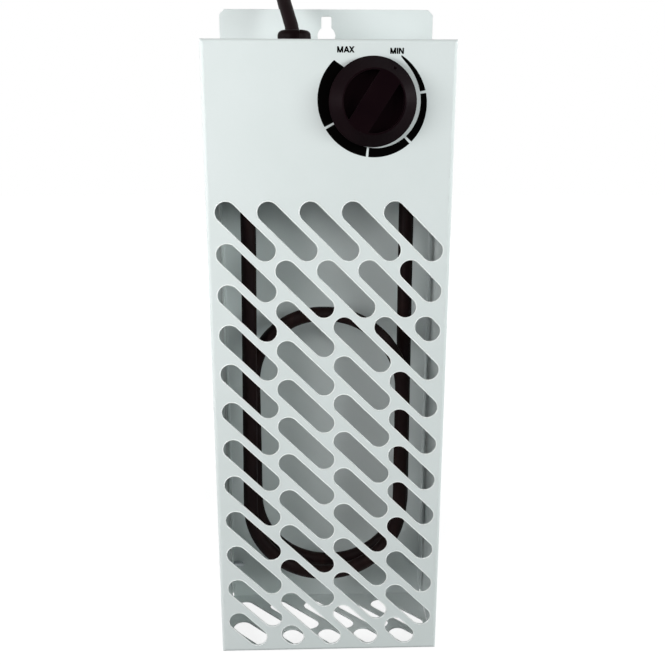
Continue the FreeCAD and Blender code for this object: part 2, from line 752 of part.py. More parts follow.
def grip_direction():
    """Direction of the knob's grip bar at rest, in the front's plane."""
    angle = math.radians(KNOB_REST_ANGLE)
    return V(math.cos(angle), 0, math.sin(angle))


def knob_block(across, wide, rises):
    """A block in the knob's own directions: across the grip bar, along it, and out from the front."""
    block = box(wide, rises, across)
    turn = FreeCAD.Rotation(REARWARD, -KNOB_REST_ANGLE)
    block.Placement = FreeCAD.Placement(KNOB_CENTRE, turn)
    return block


def thermostat_shaft():
    """Shaft with a retaining ring behind the plate and a flat for the knob."""
    foot = V(KNOB_X, THERMOSTAT_FACE + SHAFT_DEPTH, KNOB_Z)
    outer_end = FRONT - SHAFT_RISE
    shaft = rod(foot, REARWARD * (outer_end - foot.y), SHAFT_RADIUS)
    ring_face = V(KNOB_X, THERMOSTAT_FACE + POCKET_FIT, KNOB_Z)
    shaft = shaft.fuse(rod(ring_face, REARWARD * SHAFT_RING, SHAFT_RING_RADIUS)).removeSplitter()
    flat_rises = (-2 * SHAFT_RISE, -COLLAR_RISE)
    flat = knob_block((SHAFT_FLAT, 2 * SHAFT_RADIUS), (-SHAFT_RADIUS, SHAFT_RADIUS), flat_rises)
    return shaft.cut(flat)


def thermostat_screws():
    """Two pan head screws on the front, under the knob."""
    profile = [
        (0, -SMALL_SCREW_HEAD),
        (SMALL_SCREW_HEAD_RADIUS, -SMALL_SCREW_HEAD),
        (SMALL_SCREW_HEAD_RADIUS, 0),
        (SMALL_SCREW_RADIUS, 0),
        (SMALL_SCREW_RADIUS, SMALL_SCREW_LENGTH),
        (0, SMALL_SCREW_LENGTH),
    ]
    radii = [0, SMALL_SCREW_HEAD / 2, 0, 0, 0, 0]
    return Part.makeCompound([turned(profile, radii, place, REARWARD) for place in thermostat_screw_places()])


def spade(foot, along, flat_normal):
    """A flat terminal blade from a point, along a direction, thin along another."""
    wide = unit(along.cross(flat_normal)) * SPADE_WIDTH
    thin = unit(flat_normal) * SPADE_THICKNESS
    start = foot - wide * 0.5 - thin * 0.5
    outline = [start, start + wide, start + wide + thin, start + thin, start]
    return Part.Face(Part.makePolygon(outline)).extrude(unit(along) * SPADE_LENGTH)


def thermostat_spade_feet():
    """Where the thermostat's two blades leave its rear."""
    return [V(KNOB_X + side * SPADE_SPREAD, THERMOSTAT_REAR, KNOB_Z - SPADE_DROP) for side in (-1, 1)]


def thermostat_tabs():
    """Two blades on the thermostat's rear."""
    return Part.makeCompound([spade(foot, REARWARD, UP) for foot in thermostat_spade_feet()])


def knob():
    """Hollow knob with a conical skirt and a grip bar between two D-shaped pockets."""
    inner = KNOB_RADIUS - KNOB_WALL
    hub = COLLAR_RISE + KNOB_HUB_GAP
    profile = [
        (0, KNOB_HEIGHT),
        (KNOB_CROWN_RADIUS, KNOB_HEIGHT),
        (KNOB_RADIUS, KNOB_RIM),
        (KNOB_RADIUS, KNOB_GAP),
        (inner, KNOB_GAP),
        (inner, KNOB_CEILING),
        (KNOB_HUB_RADIUS, KNOB_CEILING),
        (KNOB_HUB_RADIUS, hub),
        (0, hub),
    ]
    radii = [0, KNOB_EDGE, KNOB_EDGE, 0, 0, 0, 0, 0, 0]
    body = turned(profile, radii, KNOB_CENTRE, -REARWARD)
    pocket_foot = KNOB_CENTRE - REARWARD * GRIP_POCKET_FLOOR
    disc = rod(pocket_foot, REARWARD * -KNOB_HEIGHT, GRIP_POCKET_RADIUS)
    bar = knob_block((-GRIP_HALF_WIDTH, GRIP_HALF_WIDTH), (-KNOB_RADIUS, KNOB_RADIUS), (-2 * KNOB_HEIGHT, 0))
    bore = rod(KNOB_CENTRE, REARWARD * -KNOB_BORE_TOP, SHAFT_RADIUS + SHAFT_FIT)
    bore_flat = SHAFT_FLAT + CLIP_THICKNESS + 2 * CLIP_FIT
    beyond = knob_block((bore_flat, 2 * SHAFT_RADIUS), (-SHAFT_RADIUS, SHAFT_RADIUS), (-KNOB_HEIGHT, 0))
    slope = (KNOB_HEIGHT - KNOB_RIM) / (KNOB_RADIUS - KNOB_CROWN_RADIUS)
    pointer_face = KNOB_RIM + slope * (KNOB_RADIUS - POINTER_REACH)
    pointer_foot = KNOB_CENTRE + grip_direction() * POINTER_REACH - REARWARD * (pointer_face - POINTER_DEPTH)
    pointer = rod(pointer_foot, REARWARD * -KNOB_HEIGHT, POINTER_RADIUS)
    return body.cut([disc.cut(bar), bore.cut(beyond), pointer])


def knob_clip():
    """Spring strip between the shaft's flat and the knob's bore."""
    low = SHAFT_FLAT + CLIP_FIT
    half = CLIP_WIDTH / 2
    return knob_block((low, low + CLIP_THICKNESS), (-half, half), (-SHAFT_RISE, CLIP_LENGTH - SHAFT_RISE))


def thermal_cutout():
    """Bimetal limiter: a cup with two ears, screwed to the shelf."""
    cup = rod(CUTOUT_PLACE, UP * CUTOUT_HEIGHT, CUTOUT_RADIUS)
    across = (CUTOUT_PLACE.x - CUTOUT_EAR_REACH, CUTOUT_PLACE.x + CUTOUT_EAR_REACH)
    wide = (CUTOUT_PLACE.y - CUTOUT_EAR_WIDTH / 2, CUTOUT_PLACE.y + CUTOUT_EAR_WIDTH / 2)
    ears = box(across, wide, (SHELF_TOP, SHELF_TOP + CUTOUT_EAR))
    ears = ears.makeFillet(CUTOUT_EAR_ROUND, edges_along(ears.Edges, 2))
    hole = SHELF_SCREW_RADIUS + HOLE_FIT
    holes = [rod(place, UP * (2 * CUTOUT_EAR), hole) for place in cutout_screw_places()]
    return cup.fuse(ears).removeSplitter().cut(holes)


def cutout_spade_feet():
    """Where the cutout's two blades leave its top."""
    return [CUTOUT_PLACE + V(side * CUTOUT_SPADE_SPREAD, 0, CUTOUT_HEIGHT) for side in (-1, 1)]


def cutout_tabs():
    """Two blades on the cutout's top."""
    return Part.makeCompound([spade(foot, UP, RIGHT) for foot in cutout_spade_feet()])


def shelf_screw(place, grip):
    """A small pan head screw into the shelf, through a piece of the given thickness."""
    profile = [
        (0, grip + SHELF_SCREW_HEAD),
        (SHELF_SCREW_HEAD_RADIUS, grip + SHELF_SCREW_HEAD),
        (SHELF_SCREW_HEAD_RADIUS, grip),
        (SHELF_SCREW_RADIUS, grip),
        (SHELF_SCREW_RADIUS, grip - SHELF_SCREW_LENGTH),
        (0, grip - SHELF_SCREW_LENGTH),
    ]
    return turned(profile, [0, SHELF_SCREW_HEAD / 2, 0, 0, 0, 0], place, UP)


def cutout_screws():
    """Two screws through the cutout's ears."""
    return Part.makeCompound([shelf_screw(place, CUTOUT_EAR) for place in cutout_screw_places()])


def block_bosses():
    """Foot points of the terminal block's screw bosses."""
    places = []
    for pole in (-1, 0, 1):
        for side in (-1, 1):
            places.append(V(pole_x(pole), BLOCK_Y + side * BLOCK_BOSS_SPREAD, SHELF_TOP))
    return places


def terminal_block():
    """Three-pole block with a screw ear, wire entries at front and rear, and open screw bosses."""
    left = BLOCK_X - BLOCK_HALF
    right = BLOCK_X + BLOCK_HALF
    wide = (BLOCK_Y - BLOCK_WIDTH / 2, BLOCK_Y + BLOCK_WIDTH / 2)
    block = box((left, right), wide, (SHELF_TOP, SHELF_TOP + BLOCK_BASE))
    ear_wide = (BLOCK_Y - BLOCK_WIDTH / 4, BLOCK_Y + BLOCK_WIDTH / 4)
    ear = box((right, right + BLOCK_END_EAR), ear_wide, (SHELF_TOP, SHELF_TOP + BLOCK_EAR))
    bosses = [rod(place, UP * BLOCK_HEIGHT, BLOCK_BOSS_RADIUS) for place in block_bosses()]
    block = block.fuse([ear] + bosses).removeSplitter()
    screw_floor = BLOCK_HEIGHT - BLOCK_SCREW_DEPTH
    well = BLOCK_SCREW_RADIUS + HOLE_FIT
    cutters = [rod(place + UP * screw_floor, UP * BLOCK_HEIGHT, well) for place in block_bosses()]
    for pole in (-1, 0, 1):
        start = V(pole_x(pole), wide[0], BLOCK_ENTRY)
        cutters.append(rod(start, REARWARD * BLOCK_WIDTH, WIRE_RADIUS + HOLE_FIT))
    cutters.append(rod(block_screw_place(), UP * (2 * BLOCK_EAR), SHELF_SCREW_RADIUS + HOLE_FIT))
    return block.cut(cutters)


def terminal_screws():
    """Six clamp screws, sunk in the terminal block's bosses."""
    floor = BLOCK_HEIGHT - BLOCK_SCREW_DEPTH
    screw = UP * BLOCK_SCREW_HEIGHT
    return Part.makeCompound([rod(place + UP * floor, screw, BLOCK_SCREW_RADIUS) for place in block_bosses()])


def block_screw():
    """Screw through the terminal block's ear."""
    return shelf_screw(block_screw_place(), BLOCK_EAR)


def earth_stud():
    """Stud that rises through the shelf, with its head below."""
    foot = EARTH_PLACE - UP * SHEET
    head = rod(foot, UP * -EARTH_HEAD, EARTH_HEAD_RADIUS)
    shank = rod(foot, UP * (SHEET + EARTH_STUD_RISE), EARTH_STUD_RADIUS)
    return head.fuse(shank).removeSplitter()


def earth_tag():
    """Ring tongue on the stud, pointing to the rear."""
    ring = rod(EARTH_PLACE, UP * EARTH_TAG, EARTH_TAG_RADIUS)
    half = EARTH_TAG_RADIUS / 2
    tongue = box(
        (EARTH_PLACE.x - half, EARTH_PLACE.x + half),
        (EARTH_PLACE.y, EARTH_PLACE.y + EARTH_TAG_LENGTH),
        (SHELF_TOP, SHELF_TOP + EARTH_TAG),
    )
    bore = rod(EARTH_PLACE, UP * EARTH_TAG, EARTH_STUD_RADIUS + HOLE_FIT)
    return ring.fuse(tongue).removeSplitter().cut(bore)


def earth_nut():
    """Nut that clamps the ring tongue to the shelf."""
    foot = EARTH_PLACE + UP * EARTH_TAG
    nut = hexagon(foot, UP * EARTH_NUT_HEIGHT, EARTH_NUT_FLATS)
    return nut.cut(rod(foot, UP * EARTH_NUT_HEIGHT, EARTH_STUD_RADIUS + THREAD_FIT))


def wire(points):
    """An insulated wire along straight runs with rounded corners."""
    return tube(rounded_wire(points, [WIRE_BEND] * (len(points) - 2)), WIRE_RADIUS)


def cord_cores():
    """The lead's three cores, from its inner end to the terminal block's front."""
    cores = []
    entry_y = BLOCK_Y - BLOCK_WIDTH / 2
    inlet = cord_inlet_points()[0]
    for pole in (-1, 0, 1):
        start = inlet + RIGHT * (pole * CORD_CORE_SPREAD)
        turn_y = inlet.y
        drop = inlet.z - (inlet.z - BLOCK_ENTRY) / 3
        spread = inlet.z - (inlet.z - BLOCK_ENTRY) * 2 / 3
        points = [
            start,
            V(start.x, turn_y, drop),
            V(pole_x(pole), turn_y, spread),
            V(pole_x(pole), turn_y, BLOCK_ENTRY),
            V(pole_x(pole), entry_y + WIRE_BEND, BLOCK_ENTRY),
        ]
        cores.append(wire(points))
    return Part.makeCompound(cores)


def block_exit(pole):
    """Start of a wire inside the terminal block's rear, and the point where it turns."""
    inside = V(pole_x(pole), BLOCK_Y + BLOCK_WIDTH / 2 - WIRE_BEND, BLOCK_ENTRY)
    return [inside, V(pole_x(pole), WIRE_REAR, BLOCK_ENTRY)]


def live_wire():
    """From the terminal block up and along the rear to the thermostat's right blade."""
    blade = thermostat_spade_feet()[1] + REARWARD * SPADE_LENGTH
    high = blade.z
    return wire(block_exit(1) + [V(pole_x(1), WIRE_REAR, high), V(blade.x, WIRE_REAR, high), blade])


def switched_wire():
    """From the thermostat's left blade down to the cutout's left blade."""
    blade = thermostat_spade_feet()[0] + REARWARD * SPADE_LENGTH
    below = cutout_spade_feet()[0] + UP * SPADE_LENGTH
    level = (blade.z + below.z) / 2
    return wire([blade, V(blade.x, below.y, blade.z), V(below.x, below.y, level), below])


def element_wire():
    """From the cutout's right blade over to the element's right pin."""
    blade = cutout_spade_feet()[1] + UP * SPADE_LENGTH
    pin = leg_places()[1]
    top = V(pin.x, pin.y, ELEMENT_END + PIN_RISE)
    return wire([blade, V(blade.x, blade.y, KNOB_Z), V(top.x, top.y, KNOB_Z), top])


def neutral_wire():
    """From the terminal block along the rear to the element's left pin."""
    pin = leg_places()[0]
    top = V(pin.x, pin.y, ELEMENT_END + PIN_RISE)
    high = top.z + 2 * WIRE_BEND
    bends = [V(pole_x(0), WIRE_REAR, high), V(top.x, WIRE_REAR, high), V(top.x, top.y, high), top]
    return wire(block_exit(0) + bends)


def earth_wire():
    """From the terminal block to the earth stud's ring tongue."""
    tip = EARTH_PLACE + V(0, EARTH_TAG_LENGTH, EARTH_TAG + WIRE_RADIUS + WIRE_LAY_GAP)
    return wire(block_exit(-1) + [V(tip.x, WIRE_REAR, BLOCK_ENTRY), tip])


def cord_inlet_points():
    """Route of the lead's inner end: up through the strain relief, then leaning as it leaves."""
    lean = unit(CORD_ARCH[0])
    knee = CORD_EXIT - lean * CORD_INLET_KNEE
    return [V(knee.x, knee.y, CASE_HEIGHT - CORD_INLET_DEPTH), knee, CORD_EXIT]


def cord_inlet():
    """The lead's inner end, inside the strain relief."""
    return tube(rounded_wire(cord_inlet_points(), [CORD_INLET_BEND]), CORD_RADIUS)


def strain_relief():
    """Both halves of the cord bushing as one, with the lead's way through."""
    profile = [
        (0, -RELIEF_DEPTH),
        (RELIEF_TAIL_RADIUS, -RELIEF_DEPTH),
        (RELIEF_SNAP_RADIUS, -SHEET - RELIEF_SNAP),
        (RELIEF_SNAP_RADIUS, -SHEET),
        (RELIEF_NECK_RADIUS, -SHEET),
        (RELIEF_NECK_RADIUS, 0),
        (RELIEF_HEAD_RADIUS, 0),
        (RELIEF_HEAD_RADIUS, RELIEF_HEAD),
        (0, RELIEF_HEAD),
    ]
    bushing = turned(profile, [0, 0, 0, 0, 0, 0, 0, RELIEF_HEAD_ROUND, 0], RELIEF_PLACE, UP)
    points = cord_inlet_points()
    lean = unit(points[2] - points[1])
    way = rounded_wire([points[0], points[1], points[2] + lean * RELIEF_HEAD], [CORD_INLET_BEND])
    return bushing.cut(tube(way, CORD_RADIUS + CORD_FIT))


def relief_side(near, far):
    """A block on one side of the strain relief's split, between two distances from its middle."""
    reach = 2 * RELIEF_HEAD_RADIUS
    heights = (CASE_HEIGHT - 2 * RELIEF_DEPTH, CASE_HEIGHT + 2 * RELIEF_HEAD)
    return box((RELIEF_X + near, RELIEF_X + far), (RELIEF_PLACE.y - reach, RELIEF_PLACE.y + reach), heights)


def strain_relief_body():
    """The larger half of the cord bushing."""
    return strain_relief().common(relief_side(-2 * RELIEF_HEAD_RADIUS, RELIEF_SPLIT))


def strain_relief_wedge():
    """The wedge that closes the cord bushing."""
    return strain_relief().common(relief_side(RELIEF_SPLIT + RELIEF_SPLIT_GAP, 2 * RELIEF_HEAD_RADIUS))


def cord_tube(name, points):
    """A free stretch of the lead, with each bend as large as its runs allow."""
    radii = []
    for before, at, after in zip(points, points[1:], points[2:]):
        half_turn = (math.pi - (before - at).getAngle(after - at)) / 2
        shorter = min((before - at).Length, (after - at).Length)
        radii.append(CORD_BEND_SHARE * shorter / math.tan(half_turn))
    route = rounded_wire(points, radii)
    solid = tube(route, CORD_RADIUS)
    section = math.pi * CORD_RADIUS**2
    print(name, "radii", [round(radius, 1) for radius in radii], "length", round(route.Length, 1))
    print(name, "volume over section times length", round(solid.Volume / (section * route.Length), 4))
    return solid


def power_cord():
    """The lead from the strain relief to the coil."""
    first, heading = coil_point(0)
    coil_start = first - heading * COIL_END
    points = [CORD_EXIT] + [CORD_EXIT + offset for offset in CORD_ARCH]
    points += [V(CORD_EXIT.x + fall.x, CORD_EXIT.y + fall.y, CORD_EXIT.z * fall.z) for fall in CORD_FALL]
    points += [coil_start + offset for offset in CORD_LANDING]
    return cord_tube("power_cord", points)


def tail_points():
    """Route of the lead from the coil's end to the plug."""
    last, heading = coil_point(COIL_SPANS)
    return [last + heading * COIL_END + offset for offset in CORD_TAIL]


def cord_tail():
    """The lead from the coil to the plug."""
    return cord_tube("cord_tail", tail_points())


def coil_point(step):
    """Place and heading of the coil's line after a number of spans."""
    middle = COIL_SPANS / 2
    turns = COIL_TURNS * step / COIL_SPANS
    from_middle = COIL_TURNS * (step - middle) / COIL_SPANS
    radius = COIL_OUTER_RADIUS - COIL_PITCH * (COIL_TURNS / 2 - abs(from_middle))
    climb = min(max((step - middle + 1) / 2, 0), 1)
    height = COIL_LAYER * climb**2 * (3 - 2 * climb)
    rise = COIL_LAYER * 6 * climb * (1 - climb) * COIL_SPANS / (2 * COIL_TURNS)
    at_end = step in (0, middle, COIL_SPANS)
    drift = 0 if at_end else math.copysign(COIL_PITCH, from_middle)
    angle = math.radians(-90) + 2 * math.pi * turns
    outward = V(math.cos(angle), math.sin(angle), 0)
    onward = V(-math.sin(angle), math.cos(angle), 0)
    place = COIL_MIDDLE + outward * radius + UP * height
    return place, unit(onward * (2 * math.pi * radius) + outward * drift + UP * rise)


def biarc(start, heading, end, end_heading):
    """Two tangent arcs between two places, each with its heading."""
    gap = end - start
    both = heading + end_heading
    square = both.dot(both) - 4
    linear = -2 * gap.dot(both)
    reach = (-linear - math.sqrt(linear**2 - 4 * square * gap.dot(gap))) / (2 * square)
    first_corner = start + heading * reach
    second_corner = end - end_heading * reach
    join = (first_corner + second_corner) * 0.5
    arcs = []
    for before, at, after in ((start, first_corner, join), (join, second_corner, end)):
        half = (before - at).getAngle(after - at) / 2
        _, middle, _ = corner(before, at, after, reach * math.tan(half))
        arcs.append(Part.Arc(before, middle, after).toShape())
    return arcs


def coil_wire():
    """The coil's line: arcs of about a quarter turn, with a straight run at each end."""
    first, first_heading = coil_point(0)
    last, last_heading = coil_point(COIL_SPANS)
    edges = [Part.LineSegment(first - first_heading * COIL_END, first).toShape()]
    for step in range(COIL_SPANS):
        edges += biarc(*coil_point(step), *coil_point(step + 1))
    edges.append(Part.LineSegment(last, last + last_heading * COIL_END).toShape())
    return Part.Wire(edges)


def cord_coil():
    """The put-away length of the lead, wound in two layers."""
    line = coil_wire()
    solid = tube(line, CORD_RADIUS)
    points = line.discretize(COIL_SAMPLES * COIL_SPANS)
    spacing = line.Length / (COIL_SAMPLES * COIL_SPANS - 1)
    apart = math.ceil(math.pi * COIL_OUTER_RADIUS / 2 / spacing)
    count = len(points)
    least = min((points[i] - points[j]).Length for i in range(count) for j in range(i + apart, count))
    section = math.pi * CORD_RADIUS**2
    print("cord_coil length", round(line.Length, 1), "least gap to itself", round(least - 2 * CORD_RADIUS, 2))
    print("cord_coil volume over section times length", round(solid.Volume / (section * line.Length), 4))
    return solid


def cord_tie():
    """Strap round the coil's turns, at its left."""
    inner_radius = COIL_OUTER_RADIUS - COIL_PITCH * COIL_TURNS / 2
    left = COIL_MIDDLE.x - COIL_OUTER_RADIUS - CORD_RADIUS - TIE_FIT
    right = COIL_MIDDLE.x - inner_radius + CORD_RADIUS + TIE_FIT
    low = COIL_MIDDLE.z - CORD_RADIUS - TIE_FIT
    high = COIL_MIDDLE.z + COIL_LAYER + CORD_RADIUS + TIE_FIT
    faces = []
    for grow in (TIE_THICKNESS, 0):
        y = COIL_MIDDLE.y - TIE_WIDTH / 2
        outline = [
            V(left - grow, y, low - grow),
            V(right + grow, y, low - grow),
            V(right + grow, y, high + grow),
            V(left - grow, y, high + grow),
        ]
        faces.append(rounded_face(outline, [TIE_CORNER - TIE_THICKNESS + grow] * 4))
    return faces[0].cut(faces[1]).extrude(REARWARD * TIE_WIDTH)


def plug_length():
    """Length of the plug's moulding, from the boot's end to its face."""
    return PLUG_BOOT_LENGTH + PLUG_SHOULDER_LENGTH + PLUG_HEAD_LENGTH


def plug_grooves(fit):
    """Bars along the plug's two flats, from its face, deeper and wider by a fit than the clips."""
    face = tail_points()[-1] - RIGHT * plug_length()
    bars = []
    half = PLUG_CLIP_WIDTH / 2 + fit
    floor = PLUG_FLAT - PLUG_GROOVE_DEPTH
    for side in (-1, 1):
        near = floor if fit else floor + (PLUG_GROOVE_DEPTH - PLUG_CLIP_THICKNESS) / 2
        far = PLUG_FLAT + fit if fit else near + PLUG_CLIP_THICKNESS
        levels = sorted((face.z + side * near, face.z + side * far))
        bars.append(box((face.x, face.x + PLUG_CLIP_LENGTH + fit), (face.y - half, face.y + half), levels))
    return bars


def plug_body():
    """Moulded plug: a tapered boot, a flared shoulder and a round head with two flats."""
    shoulder = PLUG_BOOT_LENGTH + PLUG_SHOULDER_LENGTH
    length = plug_length()
    profile = [
        (0, 0),
        (PLUG_BOOT_RADIUS, 0),
        (PLUG_NECK_RADIUS, PLUG_BOOT_LENGTH),
        (PLUG_RADIUS, shoulder),
        (PLUG_RADIUS, length),
        (0, length),
    ]
    radii = [0, 0, PLUG_SHOULDER_LENGTH / 2, PLUG_SHOULDER_LENGTH / 2, PLUG_EDGE, 0]
    middle = tail_points()[-1]
    body = turned(profile, radii, middle, -RIGHT)
    reach = 2 * PLUG_RADIUS
    across = (middle.x - 2 * length, middle.x + length)
    flats = box(across, (middle.y - reach, middle.y + reach), (middle.z - PLUG_FLAT, middle.z + PLUG_FLAT))
    return body.common(flats).cut(plug_grooves(PLUG_GROOVE_FIT))


def plug_pins():
    """Two round pins with rounded tips."""
    profile = [(0, 0), (PLUG_PIN_RADIUS, 0), (PLUG_PIN_RADIUS, PLUG_PIN_LENGTH), (0, PLUG_PIN_LENGTH)]
    radii = [0, 0, PLUG_PIN_ROUND, 0]
    face = tail_points()[-1] - RIGHT * plug_length()
    pins = []
    for side in (-1, 1):
        pins.append(turned(profile, radii, face + REARWARD * (side * PLUG_PIN_SPREAD), -RIGHT))
    return Part.makeCompound(pins)


def plug_earth_clips():
    """Two earth strips in the grooves of the plug's flats."""
    return Part.makeCompound(plug_grooves(0))


PIECES = [
    front_cover,
    rear_plate,
    case_screws,
    element_plate,
    plate_rivets,
    heating_element,
    element_bushes,
    element_nuts,
    element_insulators,
    element_pins,
    thermostat_plate,
    thermostat_body,
    thermostat_shaft,
    thermostat_screws,
    thermostat_tabs,
    knob,
    knob_clip,
    thermal_cutout,
    cutout_tabs,
    cutout_screws,
    terminal_block,
    terminal_screws,
    block_screw,
    earth_stud,
    earth_tag,
    earth_nut,
    cord_inlet,
    cord_cores,
    live_wire,
    switched_wire,
    element_wire,
    neutral_wire,
    earth_wire,
    strain_relief_body,
    strain_relief_wedge,
    power_cord,
    cord_coil,
    cord_tail,
    cord_tie,
    plug_body,
    plug_pins,
    plug_earth_clips,
]

os.makedirs("parts", exist_ok=True)
for piece in PIECES:
    shape = piece()
    state = "valid" if shape.isValid() else "not valid"
    print(piece.__name__, len(shape.Solids), "solids", state, round(shape.Volume, 1))
    shape.exportStep("parts/" + piece.__name__ + ".step")
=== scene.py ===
"""Looks of a frost protection heater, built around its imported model: camera, lead, prints and finishes.

Sizes are in millimetres, in the part's own frame, and become metres where a mesh is made.
"""

import logging
import math
from dataclasses import dataclass
from enum import Enum
from typing import Any

import bpy
from mathutils import Color, Matrix, Vector


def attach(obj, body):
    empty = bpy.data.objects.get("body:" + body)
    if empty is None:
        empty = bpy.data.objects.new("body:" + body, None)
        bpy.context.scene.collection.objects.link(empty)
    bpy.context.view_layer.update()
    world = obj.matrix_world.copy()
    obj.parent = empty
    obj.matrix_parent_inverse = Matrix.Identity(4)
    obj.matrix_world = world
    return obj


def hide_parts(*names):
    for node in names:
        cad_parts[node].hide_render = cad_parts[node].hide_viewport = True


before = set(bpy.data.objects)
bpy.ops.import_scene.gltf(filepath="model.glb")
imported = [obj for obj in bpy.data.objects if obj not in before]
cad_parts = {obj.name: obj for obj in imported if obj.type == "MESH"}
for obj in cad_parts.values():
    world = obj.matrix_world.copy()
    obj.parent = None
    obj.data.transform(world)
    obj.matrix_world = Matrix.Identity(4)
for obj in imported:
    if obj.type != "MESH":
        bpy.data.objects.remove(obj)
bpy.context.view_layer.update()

LOG = logging.getLogger("heater")
MM = 0.001
CASE = "case"
WHITE = (1.0, 1.0, 1.0, 1.0)
QUARTER_TURN = (math.pi / 2, 0.0, 0.0)
Colour = tuple[float, float, float, float]
Point = tuple[float, float, float]
Output = bpy.types.NodeSocket
Material = bpy.types.Material
Piece = bpy.types.Object
Outputs = bpy.types.bpy_prop_collection
Inputs = dict[Any, Any] | None


class Kind(Enum):
    """Sorts of node tree, by the start of their type's name."""

    SHADER = "Shader"
    GEOMETRY = "Geometry"


class Socket(Enum):
    """Sorts of socket on a node group, by the name of their type."""

    GEOMETRY = "NodeSocketGeometry"
    FLOAT = "NodeSocketFloat"
    VECTOR = "NodeSocketVector"
    COLOUR = "NodeSocketColor"
    INTEGER = "NodeSocketInt"


Sorts = dict[str, Socket]


def metres(x: float, y: float, z: float) -> Vector:
    """A point given in millimetres, in metres."""
    return Vector((x, y, z)) * MM


def rgb(red: int, green: int, blue: int) -> Colour:
    """A colour as a screen shows it, from 0 to 255, as the linear one that shaders take."""
    screen = Color((red / 255, green / 255, blue / 255))
    return (*screen.from_srgb_to_scene_linear(), 1.0)


def floats(*names: str) -> Sorts:
    """Plain values, as the sorts of a group's sockets."""
    return {name: Socket.FLOAT for name in names}


def values(owner: Any, names: tuple[str, ...]) -> dict[str, Any]:
    """What an object holds under the names of a group's inputs."""
    return {name: getattr(owner, name.lower().replace(" ", "_")) for name in names}


def lengths(owner: Any, names: tuple[str, ...]) -> dict[str, float]:
    """An assembly's sizes in metres, by the names of a tree's inputs."""
    return {name: size * MM for name, size in values(owner, names).items()}


class Graph:
    """A node tree that is being filled."""

    def __init__(self, tree: bpy.types.NodeTree) -> None:
        """Starts on a tree."""
        self.tree = tree

    def add(self, kind: str, inputs: Inputs = None, **settings: Any) -> bpy.types.Node:
        """Adds a node.

        Args:
            kind: The node's type name.
            inputs: Values or output sockets for its inputs, by name or by number.
            settings: The node's own properties.

        Returns:
            The new node.
        """
        node = self.tree.nodes.new(kind)
        for name, value in settings.items():
            setattr(node, name, value)
        for name, value in (inputs or {}).items():
            self.put(node, name, value)
        return node

    def put(self, node: bpy.types.Node, name: str | int, value: Any) -> None:
        """Sets an input to a value, or joins it to an output or to a list of outputs."""
        if isinstance(value, list):
            for part in value:
                self.put(node, name, part)
        elif isinstance(value, Output):
            self.tree.links.new(value, node.inputs[name])
        else:
            node.inputs[name].default_value = value

    def out(self, kind: str, inputs: Inputs = None, **settings: Any) -> Output:
        """Adds a node and gives its first output."""
        return self.add(kind, inputs, **settings).outputs[0]

    def geo(self, kind: str, inputs: Inputs = None, **settings: Any) -> Output:
        """Adds a geometry node and gives its first output."""
        return self.out(f"GeometryNode{kind}", inputs, **settings)

    def maths(self, operation: str, first: Any, second: Any = 0.0) -> Output:
        """Adds a sum of one or two values and gives its result."""
        return self.out("ShaderNodeMath", {0: first, 1: second}, operation=operation)

    def plus(self, first: Any, second: Any) -> Output:
        """Two values added up."""
        return self.maths("ADD", first, second)

    def minus(self, first: Any, second: Any) -> Output:
        """The first value less the second."""
        return self.maths("SUBTRACT", first, second)

    def times(self, first: Any, second: Any) -> Output:
        """One value times another."""
        return self.maths("MULTIPLY", first, second)

    def vector(self, x: Any = 0.0, y: Any = 0.0, z: Any = 0.0) -> Output:
        """Adds a vector of three values."""
        return self.out("ShaderNodeCombineXYZ", {0: x, 1: y, 2: z})

    def vectors(self, operation: str, first: Any, second: Any = (0.0, 0.0, 0.0)) -> Output:
        """Adds a sum of one or two vectors and gives its result, a vector or a value."""
        node = self.add("ShaderNodeVectorMath", {0: first, 1: second}, operation=operation)
        return node.outputs["Value" if operation in ("DOT_PRODUCT", "LENGTH") else "Vector"]

    def blend(self, share: Any, first: Any, second: Any) -> Output:
        """Adds a mix of two colours and gives its result."""
        node = self.add("ShaderNodeMix", {"Factor": share}, data_type="RGBA")
        self.put(node, 6, first)
        self.put(node, 7, second)
        return node.outputs[2]

    def spread(self, value: Any, low: float, high: float, first: Any = 0.0, last: Any = 1.0) -> Output:
        """Adds a map from one range of values to another and gives its result."""
        inputs = {"Value": value, "From Min": low, "From Max": high, "To Min": first, "To Max": last}
        return self.out("ShaderNodeMapRange", inputs)

    def noise(self, place: Any, scale: Any, detail: float, rough: float = 0.5) -> Output:
        """Adds a noise over a place and gives its value."""
        inputs = {"Vector": place, "Scale": scale, "Detail": detail, "Roughness": rough}
        return self.out("ShaderNodeTexNoise", inputs)

    def place(self) -> Output:
        """The point's own place in the part's frame."""
        return self.add("ShaderNodeTexCoord").outputs["Object"]

    def facing(self) -> Outputs:
        """What a shaded point tells of its face."""
        return self.add("ShaderNodeNewGeometry").outputs

    def carried(self, name: str) -> Output:
        """The named vector that each point carries."""
        return self.geo("InputNamedAttribute", {"Name": name}, data_type="FLOAT_VECTOR")

    def raised(self, mesh: Output, rise: Any) -> Output:
        """Moves a mesh up by a value."""
        return self.geo("Transform", {"Geometry": mesh, "Translation": self.vector(z=rise)})

    def worn(self, geometry: Output, material: Material) -> Output:
        """Makes instances real and gives them a material."""
        real = self.geo("RealizeInstances", {"Geometry": geometry})
        return self.geo("SetMaterial", {"Geometry": real, "Material": material})


def emptied(owner: Any) -> Graph:
    """Empties the node tree of a material or a world, to be filled."""
    owner.use_nodes = True
    owner.node_tree.nodes.clear()
    return Graph(owner.node_tree)


